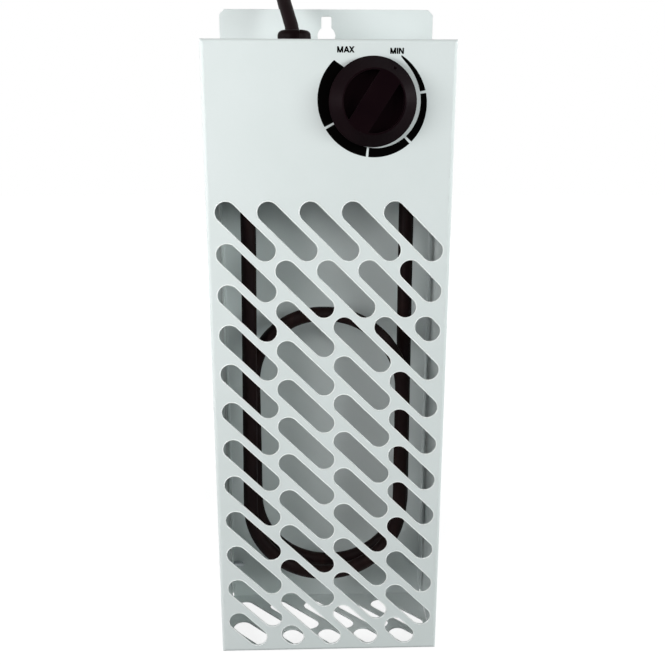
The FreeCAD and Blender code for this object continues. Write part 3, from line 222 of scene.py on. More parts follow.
class Group(Graph):
    """A node group with named inputs and outputs, built once."""

    def __init__(self, name: str, kind: Kind, inputs: Sorts, outputs: Sorts) -> None:
        """Makes the empty group.

        Args:
            name: The group's name.
            kind: The sort of tree.
            inputs: Its inputs' names and sorts.
            outputs: Its outputs' names and sorts.
        """
        super().__init__(bpy.data.node_groups.new(name, f"{kind.value}NodeTree"))
        self.kind = kind
        for direction, sockets in (("INPUT", inputs), ("OUTPUT", outputs)):
            for label, sort in sockets.items():
                self.tree.interface.new_socket(name=label, in_out=direction, socket_type=sort.value)
        self.given = self.add("NodeGroupInput").outputs
        self.result = self.add("NodeGroupOutput")

    def give(self, name: str, value: Output) -> None:
        """Joins a socket to one of the group's outputs."""
        self.put(self.result, name, value)

    def used(self, graph: Graph, inputs: dict[str, Any]) -> Outputs:
        """Places the group in another tree and gives its outputs there."""
        return graph.add(f"{self.kind.value}NodeGroup", inputs, node_tree=self.tree).outputs


TONES = ("Light", "Dark")
SURFACE = ("Patch", "Smooth", "Rough", "Grain", "Fleck")


class Effects:
    """Shader groups that the finishes share, with the values where each effect starts and is full."""

    tones = (0.3, 0.7)
    turned_edge = (0.98, 0.8)
    edge_breaks = (0.35, 0.65)
    edge_scale = 160.0
    edge_least = 0.4
    settling = (0.4, 1.0)
    film = (0.3, 0.7)
    film_scale = 90.0
    film_least = 0.2
    marks = (0.45, 0.75)

    def __init__(self) -> None:
        """Builds every group."""
        self.surface = self.make_surface()
        self.edges = self.make_edge_highlight()
        self.dust = self.make_dust()
        self.streaks = self.make_streaks()

    def make_surface(self) -> Group:
        """Patchy colour and gloss, and a fine grain.

        Returns:
            The group, with outputs Colour, Roughness and Height.
        """
        sorts = {name: Socket.COLOUR for name in TONES} | floats(*SURFACE)
        outputs = {"Colour": Socket.COLOUR} | floats("Roughness", "Height")
        graph = Group("Surface", Kind.SHADER, sorts, outputs)
        given = graph.given
        place = graph.place()
        patches = graph.noise(place, given["Patch"], detail=4.0, rough=0.6)
        grains = graph.noise(place, given["Grain"], detail=2.0)
        fleck = graph.times(graph.minus(grains, 0.5), given["Fleck"])
        tone = graph.plus(graph.spread(patches, *self.tones), fleck)
        share = graph.out("ShaderNodeClamp", {0: tone})
        graph.give("Colour", graph.blend(share, given["Light"], given["Dark"]))
        graph.give("Roughness", graph.spread(share, 0.0, 1.0, given["Smooth"], given["Rough"]))
        graph.give("Height", grains)
        return graph

    def make_edge_highlight(self) -> Group:
        """A mask of the outer edges, broken up a little, where a painted highlight lightens the colour.

        Returns:
            The group, with output Mask.
        """
        graph = Group("Edges", Kind.SHADER, floats("Radius", "Amount"), floats("Mask"))
        given = graph.given
        rounded = graph.out("ShaderNodeBevel", {"Radius": given["Radius"]}, samples=4)
        kept = graph.vectors("DOT_PRODUCT", rounded, graph.facing()["Normal"])
        broken = graph.noise(graph.place(), self.edge_scale, detail=3.0)
        broken = graph.spread(broken, *self.edge_breaks, self.edge_least)
        edge = graph.times(graph.spread(kept, *self.turned_edge), broken)
        graph.give("Mask", graph.times(edge, given["Amount"]))
        return graph

    def make_dust(self) -> Group:
        """A mask of a thin settled film on what faces up.

        Returns:
            The group, with output Mask.
        """
        graph = Group("Dust", Kind.SHADER, floats("Amount"), floats("Mask"))
        up = graph.add("ShaderNodeSeparateXYZ", {0: graph.facing()["Normal"]}).outputs["Z"]
        film = graph.noise(graph.place(), self.film_scale, detail=5.0)
        film = graph.spread(film, *self.film, self.film_least)
        mask = graph.times(graph.spread(up, *self.settling), film)
        graph.give("Mask", graph.times(mask, graph.given["Amount"]))
        return graph

    def make_streaks(self) -> Group:
        """Long marks along one direction: drawn marks, and on the element's sheath painted highlights
        along the tube.

        Returns:
            The group, with outputs Mask and Height.
        """
        sorts = {"Stretch": Socket.VECTOR} | floats("Amount")
        graph = Group("Streaks", Kind.SHADER, sorts, floats("Mask", "Height"))
        given = graph.given
        place = graph.vectors("MULTIPLY", graph.place(), given["Stretch"])
        marks = graph.noise(place, 1.0, detail=3.0)
        graph.give("Mask", graph.times(graph.spread(marks, *self.marks), given["Amount"]))
        graph.give("Height", marks)
        return graph


@dataclass(frozen=True)
class Finish:
    """One finish: two tones of colour and gloss, a grain, and what edges and dust do to it; its edges
    take a painted highlight.

    Patch and grain are the scales of their noises, fleck and relief the grain's share and height.
    """

    name: str
    light: Colour
    dark: Colour
    patch: float = 25.0
    smooth: float = 0.4
    rough: float = 0.5
    grain: float = 1200.0
    fleck: float = 0.2
    relief: float = 0.02
    metallic: float = 0.0
    specular: float = 0.5
    gloss_tint: Colour = WHITE
    edge_radius: float = 0.0
    edge_highlight_colour: Colour = WHITE
    edge_highlight_amount: float = 0.5
    dust_colour: Colour = (0.42, 0.4, 0.37, 1.0)
    dust_amount: float = 0.0
    streak_stretch: Point = (40.0, 40.0, 40.0)
    streak_colour: Colour = (0.5, 0.5, 0.5, 1.0)
    streak_amount: float = 0.0
    streak_height: float = 0.0

    def material(self, effects: Effects) -> Material:
        """Builds the material.

        Args:
            effects: The shared shader groups.

        Returns:
            The material.
        """
        made = bpy.data.materials.new(self.name)
        graph = emptied(made)
        surface = effects.surface.used(graph, values(self, TONES + SURFACE))
        colour, layers = surface["Colour"], [(surface["Height"], self.relief)]
        # Marks along one direction; on the element's sheath they are painted highlights.
        if self.streak_amount:
            inputs = {"Stretch": self.streak_stretch, "Amount": self.streak_amount}
            streaks = effects.streaks.used(graph, inputs)
            colour = graph.blend(streaks["Mask"], colour, self.streak_colour)
            if self.streak_height:
                layers.append((streaks["Height"], self.streak_height))
        # The edges are lightened: a painted highlight along them, where rounded edges would catch light.
        if self.edge_radius:
            inputs = {"Radius": self.edge_radius * MM, "Amount": self.edge_highlight_amount}
            colour = graph.blend(effects.edges.used(graph, inputs)["Mask"], colour, self.edge_highlight_colour)
        if self.dust_amount:
            film = effects.dust.used(graph, {"Amount": self.dust_amount})["Mask"]
            colour = graph.blend(film, colour, self.dust_colour)
        shader = graph.out("ShaderNodeBsdfPrincipled", {
            "Base Color": colour, "Roughness": surface["Roughness"],
            "Normal": self.normal(graph, layers), "Metallic": self.metallic,
            "Specular IOR Level": self.specular, "Specular Tint": self.gloss_tint,
        })
        graph.add("ShaderNodeOutputMaterial", {"Surface": shader})
        return made

    def normal(self, graph: Graph, layers: list[tuple[Output, float]]) -> Output:
        """Adds the rounding of edges, the grain and the drawn marks to the normal.

        Args:
            graph: The material's tree.
            layers: Heights of grain and marks, and how deep each goes.

        Returns:
            The normal.
        """
        under = {}
        if self.edge_radius:
            rounded = graph.out("ShaderNodeBevel", {"Radius": self.edge_radius * MM}, samples=6)
            under = {"Normal": rounded}
        for height, depth in layers:
            bump = {"Strength": 1.0, "Distance": depth * MM, "Height": height}
            under = {"Normal": graph.out("ShaderNodeBump", bump | under)}
        return under["Normal"]


POWDER_COAT = Finish(
    "white_powder_coat", rgb(232, 238, 238), rgb(226, 233, 232), patch=14.0, smooth=0.42, rough=0.52,
    grain=850.0, fleck=0.25, relief=0.035, specular=0.3, edge_radius=0.5,
    edge_highlight_colour=rgb(238, 240, 236), dust_colour=rgb(205, 204, 198), dust_amount=0.18,
)
# The lips' coat is lighter than the panel's: a painted highlight along the rims of the slots.
LIP_HIGHLIGHT_COAT = Finish(
    "lip_powder_coat", rgb(246, 249, 248), rgb(240, 244, 243), patch=40.0, smooth=0.3, rough=0.4,
    grain=850.0, fleck=0.25,
)
# The sheath's brownish lengthwise streaks are painted highlights along the tube; its dark patches are the
# oxide.
DARK_SHEATH = Finish(
    "oxidised_sheath", rgb(13, 2, 4), rgb(22, 8, 8), patch=60.0, smooth=0.46, rough=0.64, grain=1400.0,
    fleck=0.5, relief=0.05, specular=0.1, dust_colour=rgb(84, 70, 64), dust_amount=0.09,
    streak_stretch=(300.0, 300.0, 14.0), streak_colour=rgb(48, 29, 25), streak_amount=0.35,
    streak_height=0.02,
)
KNOB_PLASTIC = Finish(
    "knob_black", rgb(13, 5, 8), rgb(18, 8, 11), patch=70.0, smooth=0.34, rough=0.42, grain=1900.0,
    fleck=0.4, relief=0.03, specular=0.02, gloss_tint=rgb(255, 214, 228), edge_radius=0.35,
    edge_highlight_colour=rgb(52, 42, 44),
)
LEAD_SHEATH = Finish(
    "lead_black", rgb(18, 9, 11), rgb(25, 14, 16), patch=110.0, smooth=0.42, rough=0.55, grain=1500.0,
    fleck=0.4, relief=0.03, specular=0.05, dust_colour=rgb(94, 88, 84), dust_amount=0.12,
)
BUSHING = Finish(
    "bushing_black", rgb(10, 3, 4), rgb(16, 7, 8), patch=120.0, smooth=0.36, rough=0.48, grain=1700.0,
    fleck=0.35, relief=0.025, specular=0.03, edge_radius=0.3, edge_highlight_colour=rgb(70, 56, 52),
)
PLUG_BLACK = Finish(
    "plug_black", rgb(17, 14, 15), rgb(24, 20, 21), patch=80.0, smooth=0.44, rough=0.58, grain=1300.0,
    fleck=0.4, relief=0.04, specular=0.12, edge_radius=0.4, edge_highlight_colour=rgb(66, 60, 58),
    dust_amount=0.1,
)
TIE_BLACK = Finish(
    "tie_black", rgb(20, 17, 18), rgb(27, 24, 24), patch=200.0, grain=1600.0, specular=0.1,
    edge_radius=0.2, edge_highlight_colour=rgb(72, 68, 66), edge_highlight_amount=0.4,
)
PRINT_INK = Finish(
    "print_ink", rgb(1, 1, 1), rgb(3, 2, 2), patch=220.0, smooth=0.5, rough=0.62, grain=2200.0,
    fleck=0.5, relief=0.006, specular=0.01,
)
ZINC = Finish(
    "zinc_plate", rgb(196, 200, 204), rgb(168, 172, 178), patch=140.0, smooth=0.28, rough=0.46,
    grain=900.0, fleck=0.4, relief=0.01, metallic=1.0, edge_radius=0.25,
    edge_highlight_colour=rgb(226, 228, 230), streak_stretch=(30.0, 900.0, 900.0),
    streak_colour=rgb(206, 206, 200), streak_amount=0.3, streak_height=0.004,
)
BRASS = Finish(
    "brass", rgb(206, 174, 98), rgb(176, 142, 78), patch=260.0, smooth=0.24, rough=0.42, relief=0.008,
    metallic=1.0, edge_radius=0.15, edge_highlight_colour=rgb(232, 206, 138),
)
NICKEL = Finish(
    "plug_nickel", rgb(212, 208, 200), rgb(190, 186, 178), patch=300.0, smooth=0.16, rough=0.32,
    grain=1500.0, relief=0.006, metallic=1.0, streak_stretch=(60.0, 1500.0, 1500.0),
    streak_colour=rgb(226, 222, 214), streak_amount=0.4, streak_height=0.004,
)
BEAD = Finish(
    "ceramic_bead", rgb(232, 226, 212), rgb(214, 206, 190), patch=300.0, smooth=0.3, grain=2000.0,
    fleck=0.5, dust_amount=0.1,
)
HOUSING = Finish(
    "moulded_housing", rgb(46, 36, 32), rgb(62, 48, 42), patch=320.0, smooth=0.38, rough=0.52,
    grain=1800.0, fleck=0.8, relief=0.03, edge_radius=0.3, edge_highlight_colour=rgb(96, 80, 72),
    dust_amount=0.12,
)
BLOCK = Finish(
    "block_cream", rgb(230, 224, 204), rgb(218, 210, 188), patch=140.0, smooth=0.36, grain=1600.0,
    edge_radius=0.25, edge_highlight_colour=rgb(242, 238, 224), edge_highlight_amount=0.4, dust_amount=0.1,
)
CUTOUT = Finish(
    "cutout_cap", rgb(206, 206, 204), rgb(182, 182, 180), patch=180.0, smooth=0.24, rough=0.4,
    grain=1100.0, relief=0.01, metallic=1.0, edge_radius=0.25, edge_highlight_colour=rgb(230, 230, 228),
    edge_highlight_amount=0.4,
)


def insulation(name: str, light: Colour, dark: Colour, **more: Any) -> Finish:
    """The finish of a wire's insulation."""
    return Finish(name, light, dark, patch=180.0, smooth=0.34, rough=0.46, grain=1700.0, **more)


CORE_GREY = insulation("core_grey", rgb(96, 92, 90), rgb(120, 116, 112))
WIRE_BROWN = insulation("wire_brown", rgb(104, 62, 40), rgb(88, 50, 32))
WIRE_BLUE = insulation("wire_blue", rgb(52, 92, 158), rgb(42, 78, 140))
WIRE_EARTH = insulation(
    "wire_green_yellow", rgb(54, 128, 58), rgb(46, 112, 50), streak_stretch=(420.0, 420.0, 420.0),
    streak_colour=rgb(222, 202, 62), streak_amount=1.0,
)


class Paint:
    """Makes each finish's material once, and puts it on pieces."""

    def __init__(self) -> None:
        """Starts with no material made."""
        self.effects = Effects()
        self.made: dict[str, Material] = {}

    def material(self, finish: Finish) -> Material:
        """The finish's material."""
        if finish.name not in self.made:
            self.made[finish.name] = finish.material(self.effects)
        return self.made[finish.name]

    def nodes(self, finish: Finish, *names: str) -> None:
        """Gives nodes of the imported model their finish."""
        for name in names:
            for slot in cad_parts[name].material_slots:
                slot.material = self.material(finish)
            LOG.info("%s wears %s", name, finish.name)


def linked(name: str, data: bpy.types.ID) -> Piece:
    """Puts data into the scene as an object at the origin."""
    made = bpy.data.objects.new(name, data)
    bpy.context.scene.collection.objects.link(made)
    return made


def mount(piece: Piece, slot: str, *stands_for: str) -> None:
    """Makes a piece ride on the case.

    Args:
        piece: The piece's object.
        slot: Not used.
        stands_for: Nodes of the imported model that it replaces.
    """
    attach(piece, CASE)
    if stands_for:
        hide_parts(*stands_for)
    LOG.info("%s rides on %s", piece.name, CASE)


def grown(made: Piece, group: Group, inputs: dict[str, Any]) -> None:
    """Runs a geometry tree on an object and keeps the result as its plain mesh.

    Args:
        made: The object, whose mesh the tree starts from.
        group: The tree.
        inputs: Values of its named inputs.
    """
    modifier = made.modifiers.new(group.tree.name, "NODES")
    modifier.node_group = group.tree
    for item in group.tree.interface.items_tree:
        if item.in_out == "INPUT" and item.name in inputs:
            modifier[item.identifier] = inputs[item.name]
    state = bpy.context.evaluated_depsgraph_get()
    mesh = bpy.data.meshes.new_from_object(made.evaluated_get(state), depsgraph=state)
    made.modifiers.remove(modifier)
    mesh.name = made.name
    made.data = mesh


def seats(name: str, places: list[Vector], label: str, vectors: list[Vector]) -> Piece:
    """Makes an object of loose points.

    Args:
        name: The object's name.
        places: Where the points are.
        label: The name of the vector that each carries.
        vectors: Those vectors.

    Returns:
        The object.
    """
    mesh = bpy.data.meshes.new(name)
    mesh.from_pydata(places, [], [])
    layer = mesh.attributes.new(label, "FLOAT_VECTOR", "POINT")
    for value, vector in zip(layer.data, vectors):
        value.vector = vector
    return linked(name, mesh)


@dataclass
class Camera:
    """The photograph's view."""

    place: Point = (-10.9, -419.2, 293.0)
    lens: float = 43.06
    pitch: float = 14.634
    yaw: float = 1.808
    roll: float = 0.045
    nearest: float = 10.0

    def build(self) -> None:
        """Makes the camera and gives it to the scene."""
        pitch, yaw, roll = (math.radians(angle) for angle in (self.pitch, self.yaw, self.roll))
        flat = math.cos(pitch)
        ahead = Vector((math.sin(yaw) * flat, math.cos(yaw) * flat, -math.sin(pitch)))
        level = Vector((math.cos(yaw), -math.sin(yaw), 0.0))
        upward = level.cross(ahead)
        right = math.cos(roll) * level + math.sin(roll) * upward
        up = math.cos(roll) * upward - math.sin(roll) * level
        data = bpy.data.cameras.new("photo_view")
        data.lens = self.lens
        data.clip_start = self.nearest * MM
        made = linked("photo_view", data)
        turn = Matrix((right, up, -ahead)).transposed()
        made.matrix_world = Matrix.Translation(metres(*self.place)) @ turn.to_4x4()
        bpy.context.scene.camera = made


@dataclass
class Lead:
    """Mains lead: up out of the top, over the tab, down behind, and a tied coil with its plug."""

    diameter: float = 6.8
    length: float = 1530.0
    rise: tuple[Point, ...] = (
        (-18.0, 5.0, 340.3), (-23.9, 16.9, 360.5), (-27.2, 40.9, 371.5), (-25.0, 67.3, 366.0),
        (-20.1, 84.4, 345.4), (-23.3, 87.3, 292.0), (-36.1, 79.7, 205.9), (-46.2, 77.2, 140.5),
        (-51.4, 76.6, 100.4), (-53.8, 76.5, 58.9), (-49.6, 76.8, 34.9), (-35.5, 77.0, 15.5),
        (-14.1, 77.0, 4.6), (5.9, 77.0, 4.6),
    )
    middle: tuple[float, float] = (12.7, 120.6)
    outer_radius: float = 43.6
    pitch: float = 7.6
    turns: float = 4.25
    low: float = 4.6
    layer: float = 7.6
    climb: tuple[float, float] = (8 / 18, 10 / 18)
    turn_points: int = 16
    curve_order: int = 3
    curve_steps: int = 8
    round_steps: int = 5
    tail: tuple[Point, ...] = (
        (56.3, 127.4, 12.2), (56.3, 137.4, 12.2), (52.3, 156.0, 13.2), (41.2, 171.4, 15.0),
        (24.4, 180.3, 16.5), (5.4, 180.3, 16.5),
    )

    def coil(self) -> list[Point]:
        """Control points of the coil's turns: in, up a layer, and out again.

        Returns:
            The points, outside their curve by as much as it cuts their corners.
        """
        points = []
        count = round(self.turns * self.turn_points)
        outside = 1 / math.cos(math.pi / self.turn_points)
        half = self.turns / 2
        for step in range(1, count + 1):
            done = self.turns * step / count
            radius = outside * (self.outer_radius - self.pitch * (half - abs(done - half)))
            angle = 2 * math.pi * done - math.pi / 2
            risen = (done / self.turns - self.climb[0]) / (self.climb[1] - self.climb[0])
            risen = min(1.0, max(0.0, risen))
            height = self.low + self.layer * risen * risen * (3 - 2 * risen)
            across = self.middle[0] + radius * math.cos(angle)
            behind = self.middle[1] + radius * math.sin(angle)
            points.append((across, behind, height))
        return points

    def build(self, paint: Paint) -> None:
        """Args:
            paint: Where its finishes come from.
        """
        points = [*self.rise, *self.coil(), *self.tail]
        data = bpy.data.curves.new("mains_lead", "CURVE")
        data.dimensions = "3D"
        data.resolution_u = self.curve_steps
        data.bevel_depth = self.diameter / 2 * MM
        data.bevel_resolution = self.round_steps
        data.use_fill_caps = True
        spline = data.splines.new("NURBS")
        spline.points.add(len(points) - 1)
        for target, point in zip(spline.points, points):
            target.co = (*metres(*point), 1.0)
        spline.order_u = self.curve_order
        spline.use_endpoint_u = True
        data.materials.append(paint.material(LEAD_SHEATH))
        lead = linked("mains_lead", data)
        mount(lead, "lead_rubber", "power_cord", "cord_coil", "cord_tail")
        self.dress(paint)

    def dress(self, paint: Paint) -> None:
        """Finishes the plug, the tie and the lead's end inside."""
        paint.nodes(PLUG_BLACK, "plug_body")
        paint.nodes(NICKEL, "plug_pins", "plug_earth_clips")
        paint.nodes(TIE_BLACK, "cord_tie")
        paint.nodes(LEAD_SHEATH, "cord_inlet")
        paint.nodes(BUSHING, "strain_relief_body", "strain_relief_wedge")


SCREW_SIZES = (
    "Head radius", "Head height", "Crown radius", "Shank radius", "Shank length",
    "Recess reach", "Recess width", "Recess depth",
)


@dataclass
class Casing:
    """Folded cover and rear plate, the rolled lips of the grille's slots, and the side screws."""

    width: float = 122.6
    height: float = 332.3
    front: float = -22.0
    rear: float = 34.0
    slot_width: float = 11.0
    slot_box: float = 30.0
    slot_pitch: float = 21.0
    grille: tuple[float, float, float, float] = (4.5, 76.0, 118.8, 328.2)
    lip_radius: float = 0.34
    lip_outset: float = 0.18
    lip_depth: float = 0.2
    lip_points: int = 40
    lip_sides: int = 8
    screw_inset: float = 4.9
    screw_rise: float = 26.0
    shank_radius: float = 1.75
    shank_length: float = 9.5
    head_radius: float = 3.4
    head_height: float = 2.2
    crown_radius: float = 4.8
    recess_reach: float = 2.1
    recess_width: float = 0.8
    recess_depth: float = 1.4
    round_sides: int = 48

    def spans(self) -> list[tuple[float, float, float]]:
        """Squares that the diagonal slots fill, from the panel's upper left.

        Returns:
            How far across and down each starts, and its side.
        """
        left, top, right, bottom = self.grille
        pitch = self.slot_pitch
        rows, columns = (math.ceil(room / pitch) for room in (bottom - top, right - left))
        starts = [(left, top + pitch * row) for row in range(rows)]
        starts += [(left + pitch * column, top) for column in range(1, columns)]
        step = self.slot_box - self.slot_width + pitch / 2
        spans = []
        for across, down in starts:
            room = min(right - across, bottom - down)
            while room > self.slot_width:
                side = room if room - step <= self.slot_width else min(self.slot_box, room)
                spans.append((across, down, side))
                across += step
                down += step
                room -= step
        return spans

    def lip_tree(self, material: Material) -> Group:
        """A tree that rolls a round lip along each slot's outline.

        It starts from a point at each slot's upper centre, whose span leads to the lower centre.

        Args:
            material: What the lips wear.

        Returns:
            The tree.
        """
        sorts = {"Slots": Socket.GEOMETRY, "Points": Socket.INTEGER, "Sides": Socket.INTEGER}
        sorts |= floats("Outline radius", "Lip radius")
        graph = Group("Slot lips", Kind.GEOMETRY, sorts, {"Lips": Socket.GEOMETRY})
        given = graph.given
        place = graph.geo("InputPosition")
        seat = {"Geometry": given["Slots"], "Name": "seat", "Value": place}
        seat = graph.geo("StoreNamedAttribute", seat, data_type="FLOAT_VECTOR", domain="POINT")
        ring, profile = (
            graph.geo("CurvePrimitiveCircle", {"Radius": given[radius], "Resolution": given[points]})
            for radius, points in (("Outline radius", "Points"), ("Lip radius", "Sides"))
        )
        ring = graph.geo("Transform", {"Geometry": ring, "Rotation": QUARTER_TURN})
        rings = graph.geo("InstanceOnPoints", {"Points": seat, "Instance": ring})
        outlines = graph.geo("RealizeInstances", {"Geometry": rings})
        span = graph.carried("span")
        from_seat = graph.vectors("SUBTRACT", place, graph.carried("seat"))
        along = graph.vectors("DOT_PRODUCT", from_seat, span)
        lower = graph.out("FunctionNodeCompare", {0: along}, operation="GREATER_THAN")
        moved = {"Geometry": outlines, "Selection": lower, "Offset": span}
        outlines = graph.geo("SetPosition", moved)
        lips = graph.geo("CurveToMesh", {"Curve": outlines, "Profile Curve": profile})
        smooth = graph.geo("SetShadeSmooth", {"Geometry": lips})
        graph.give("Lips", graph.worn(smooth, material))
        return graph

    def screw_tree(self, material: Material) -> Group:
        """A tree that sets a pan head screw with a cross recess at each point, facing outward.

        Args:
            material: What the screws wear.

        Returns:
            The tree.
        """
        sorts = {"Places": Socket.GEOMETRY} | floats(*SCREW_SIZES)
        graph = Group("Side screws", Kind.GEOMETRY, sorts, {"Screws": Socket.GEOMETRY})
        given = graph.given
        height, radius, long = given["Head height"], given["Shank radius"], given["Shank length"]
        blank = self.bar(graph, "Cylinder", {"Radius": given["Head radius"]}, height, 0.0)
        sides = {"Segments": self.round_sides, "Rings": self.round_sides}
        crown = graph.geo("MeshUVSphere", sides | {"Radius": given["Crown radius"]})
        crown = graph.raised(crown, graph.minus(height, given["Crown radius"]))
        head = graph.geo("MeshBoolean", {1: [blank, crown]}, operation="INTERSECT")
        straight = graph.minus(long, radius)
        shank = self.bar(graph, "Cylinder", {"Radius": radius}, straight, graph.times(straight, -1.0))
        tip = {"Radius Top": radius, "Radius Bottom": 0.0}
        tip = self.bar(graph, "Cone", tip, radius, graph.times(long, -1.0))
        screw = graph.geo("MeshBoolean", {1: [head, shank, tip]}, operation="UNION")
        reach, depth = (graph.times(given[name], 2.0) for name in ("Recess reach", "Recess depth"))
        slots = []
        for plan in ((reach, given["Recess width"]), (given["Recess width"], reach)):
            slot = graph.geo("MeshCube", {"Size": graph.vector(*plan, depth)})
            slots.append(graph.raised(slot, height))
        cut = graph.geo("MeshBoolean", {0: screw, 1: slots}, operation="DIFFERENCE")
        turn = {"Vector": graph.carried("outward")}
        turn = graph.out("FunctionNodeAlignRotationToVector", turn, axis="Z")
        set_in = {"Points": given["Places"], "Instance": cut, "Rotation": turn}
        set_in = graph.geo("InstanceOnPoints", set_in)
        graph.give("Screws", graph.worn(set_in, material))
        return graph

    def bar(self, graph: Graph, form: str, radii: dict[str, Any], depth: Any, low: Any) -> Output:
        """Adds an upright cylinder or cone.

        Args:
            graph: The tree.
            form: Cylinder or Cone.
            radii: Its radii, by the names of their inputs.
            depth: Its height.
            low: Where its lower end lies.

        Returns:
            Its mesh.
        """
        sizes = {"Vertices": self.round_sides, "Depth": depth} | radii
        mesh = graph.geo(f"Mesh{form}", sizes)
        if form == "Cylinder":
            low = graph.plus(low, graph.times(depth, 0.5))
        return graph.raised(mesh, low)

    def screws(self, paint: Paint) -> None:
        """Makes the four screws in the casing's sides."""
        places, ways = [], []
        for side in (-1, 1):
            for height in (self.screw_rise, self.height - self.screw_rise):
                places.append(metres(side * self.width / 2, self.rear - self.screw_inset, height))
                ways.append(Vector((side, 0.0, 0.0)))
        screws = seats("side_screws", places, "outward", ways)
        grown(screws, self.screw_tree(paint.material(ZINC)), lengths(self, SCREW_SIZES))
        mount(screws, "zinc_steel", "case_screws")

    def lips(self, paint: Paint) -> None:
        """Makes the lips of the front's slots, in a lighter coat that paints a highlight on their rims.
        """
        radius = self.slot_width / 2
        centres, runs = [], []
        for across, down, side in self.spans():
            up = self.height - down - radius
            centres.append(metres(across + radius - self.width / 2, self.front + self.lip_depth, up))
            runs.append(metres(side - self.slot_width, 0.0, self.slot_width - side))
        lips = seats("slot_lips", centres, "span", runs)
        grown(lips, self.lip_tree(paint.material(LIP_HIGHLIGHT_COAT)), {
            "Outline radius": (radius + self.lip_outset) * MM, "Lip radius": self.lip_radius * MM,
            "Points": self.lip_points, "Sides": self.lip_sides,
        })
        mount(lips, "casing")

    def build(self, paint: Paint) -> None:
        """Makes the lips and the screws, and finishes the sheets and the rivets."""
        self.lips(paint)
        self.screws(paint)
        paint.nodes(POWDER_COAT, "front_cover", "rear_plate")
        paint.nodes(ZINC, "plate_rivets")


@dataclass(frozen=True)
class Word:
    """A printed word: its letters' left and right limits, and its lower and upper ones."""

    text: str
    letters: tuple[tuple[float, float], ...]
    low: float
    high: float


STROKES: dict[str, tuple[tuple[float, float, float, float], ...]] = {
    "A": ((0.0, 0.0, 0.5, 1.0), (1.0, 0.0, 0.5, 1.0), (0.2, 0.3, 0.8, 0.3)),
    "I": ((0.5, 0.0, 0.5, 1.0),),
    "M": ((0.0, 0.0, 0.0, 1.0), (0.0, 1.0, 0.5, 0.0), (0.5, 0.0, 1.0, 1.0), (1.0, 0.0, 1.0, 1.0)),
    "N": ((0.0, 0.0, 0.0, 1.0), (0.0, 1.0, 1.0, 0.0), (1.0, 0.0, 1.0, 1.0)),
    "X": ((0.0, 0.0, 1.0, 1.0), (0.0, 1.0, 1.0, 0.0)),
}


BAND_ANGLES = ("Oval angle", "Zero angle")
BAND_SIZES = ("Outer radius", "Oval", "Zero width", "Widening", "Ink")
WORD_SIZES = ("Bold", "Ink")


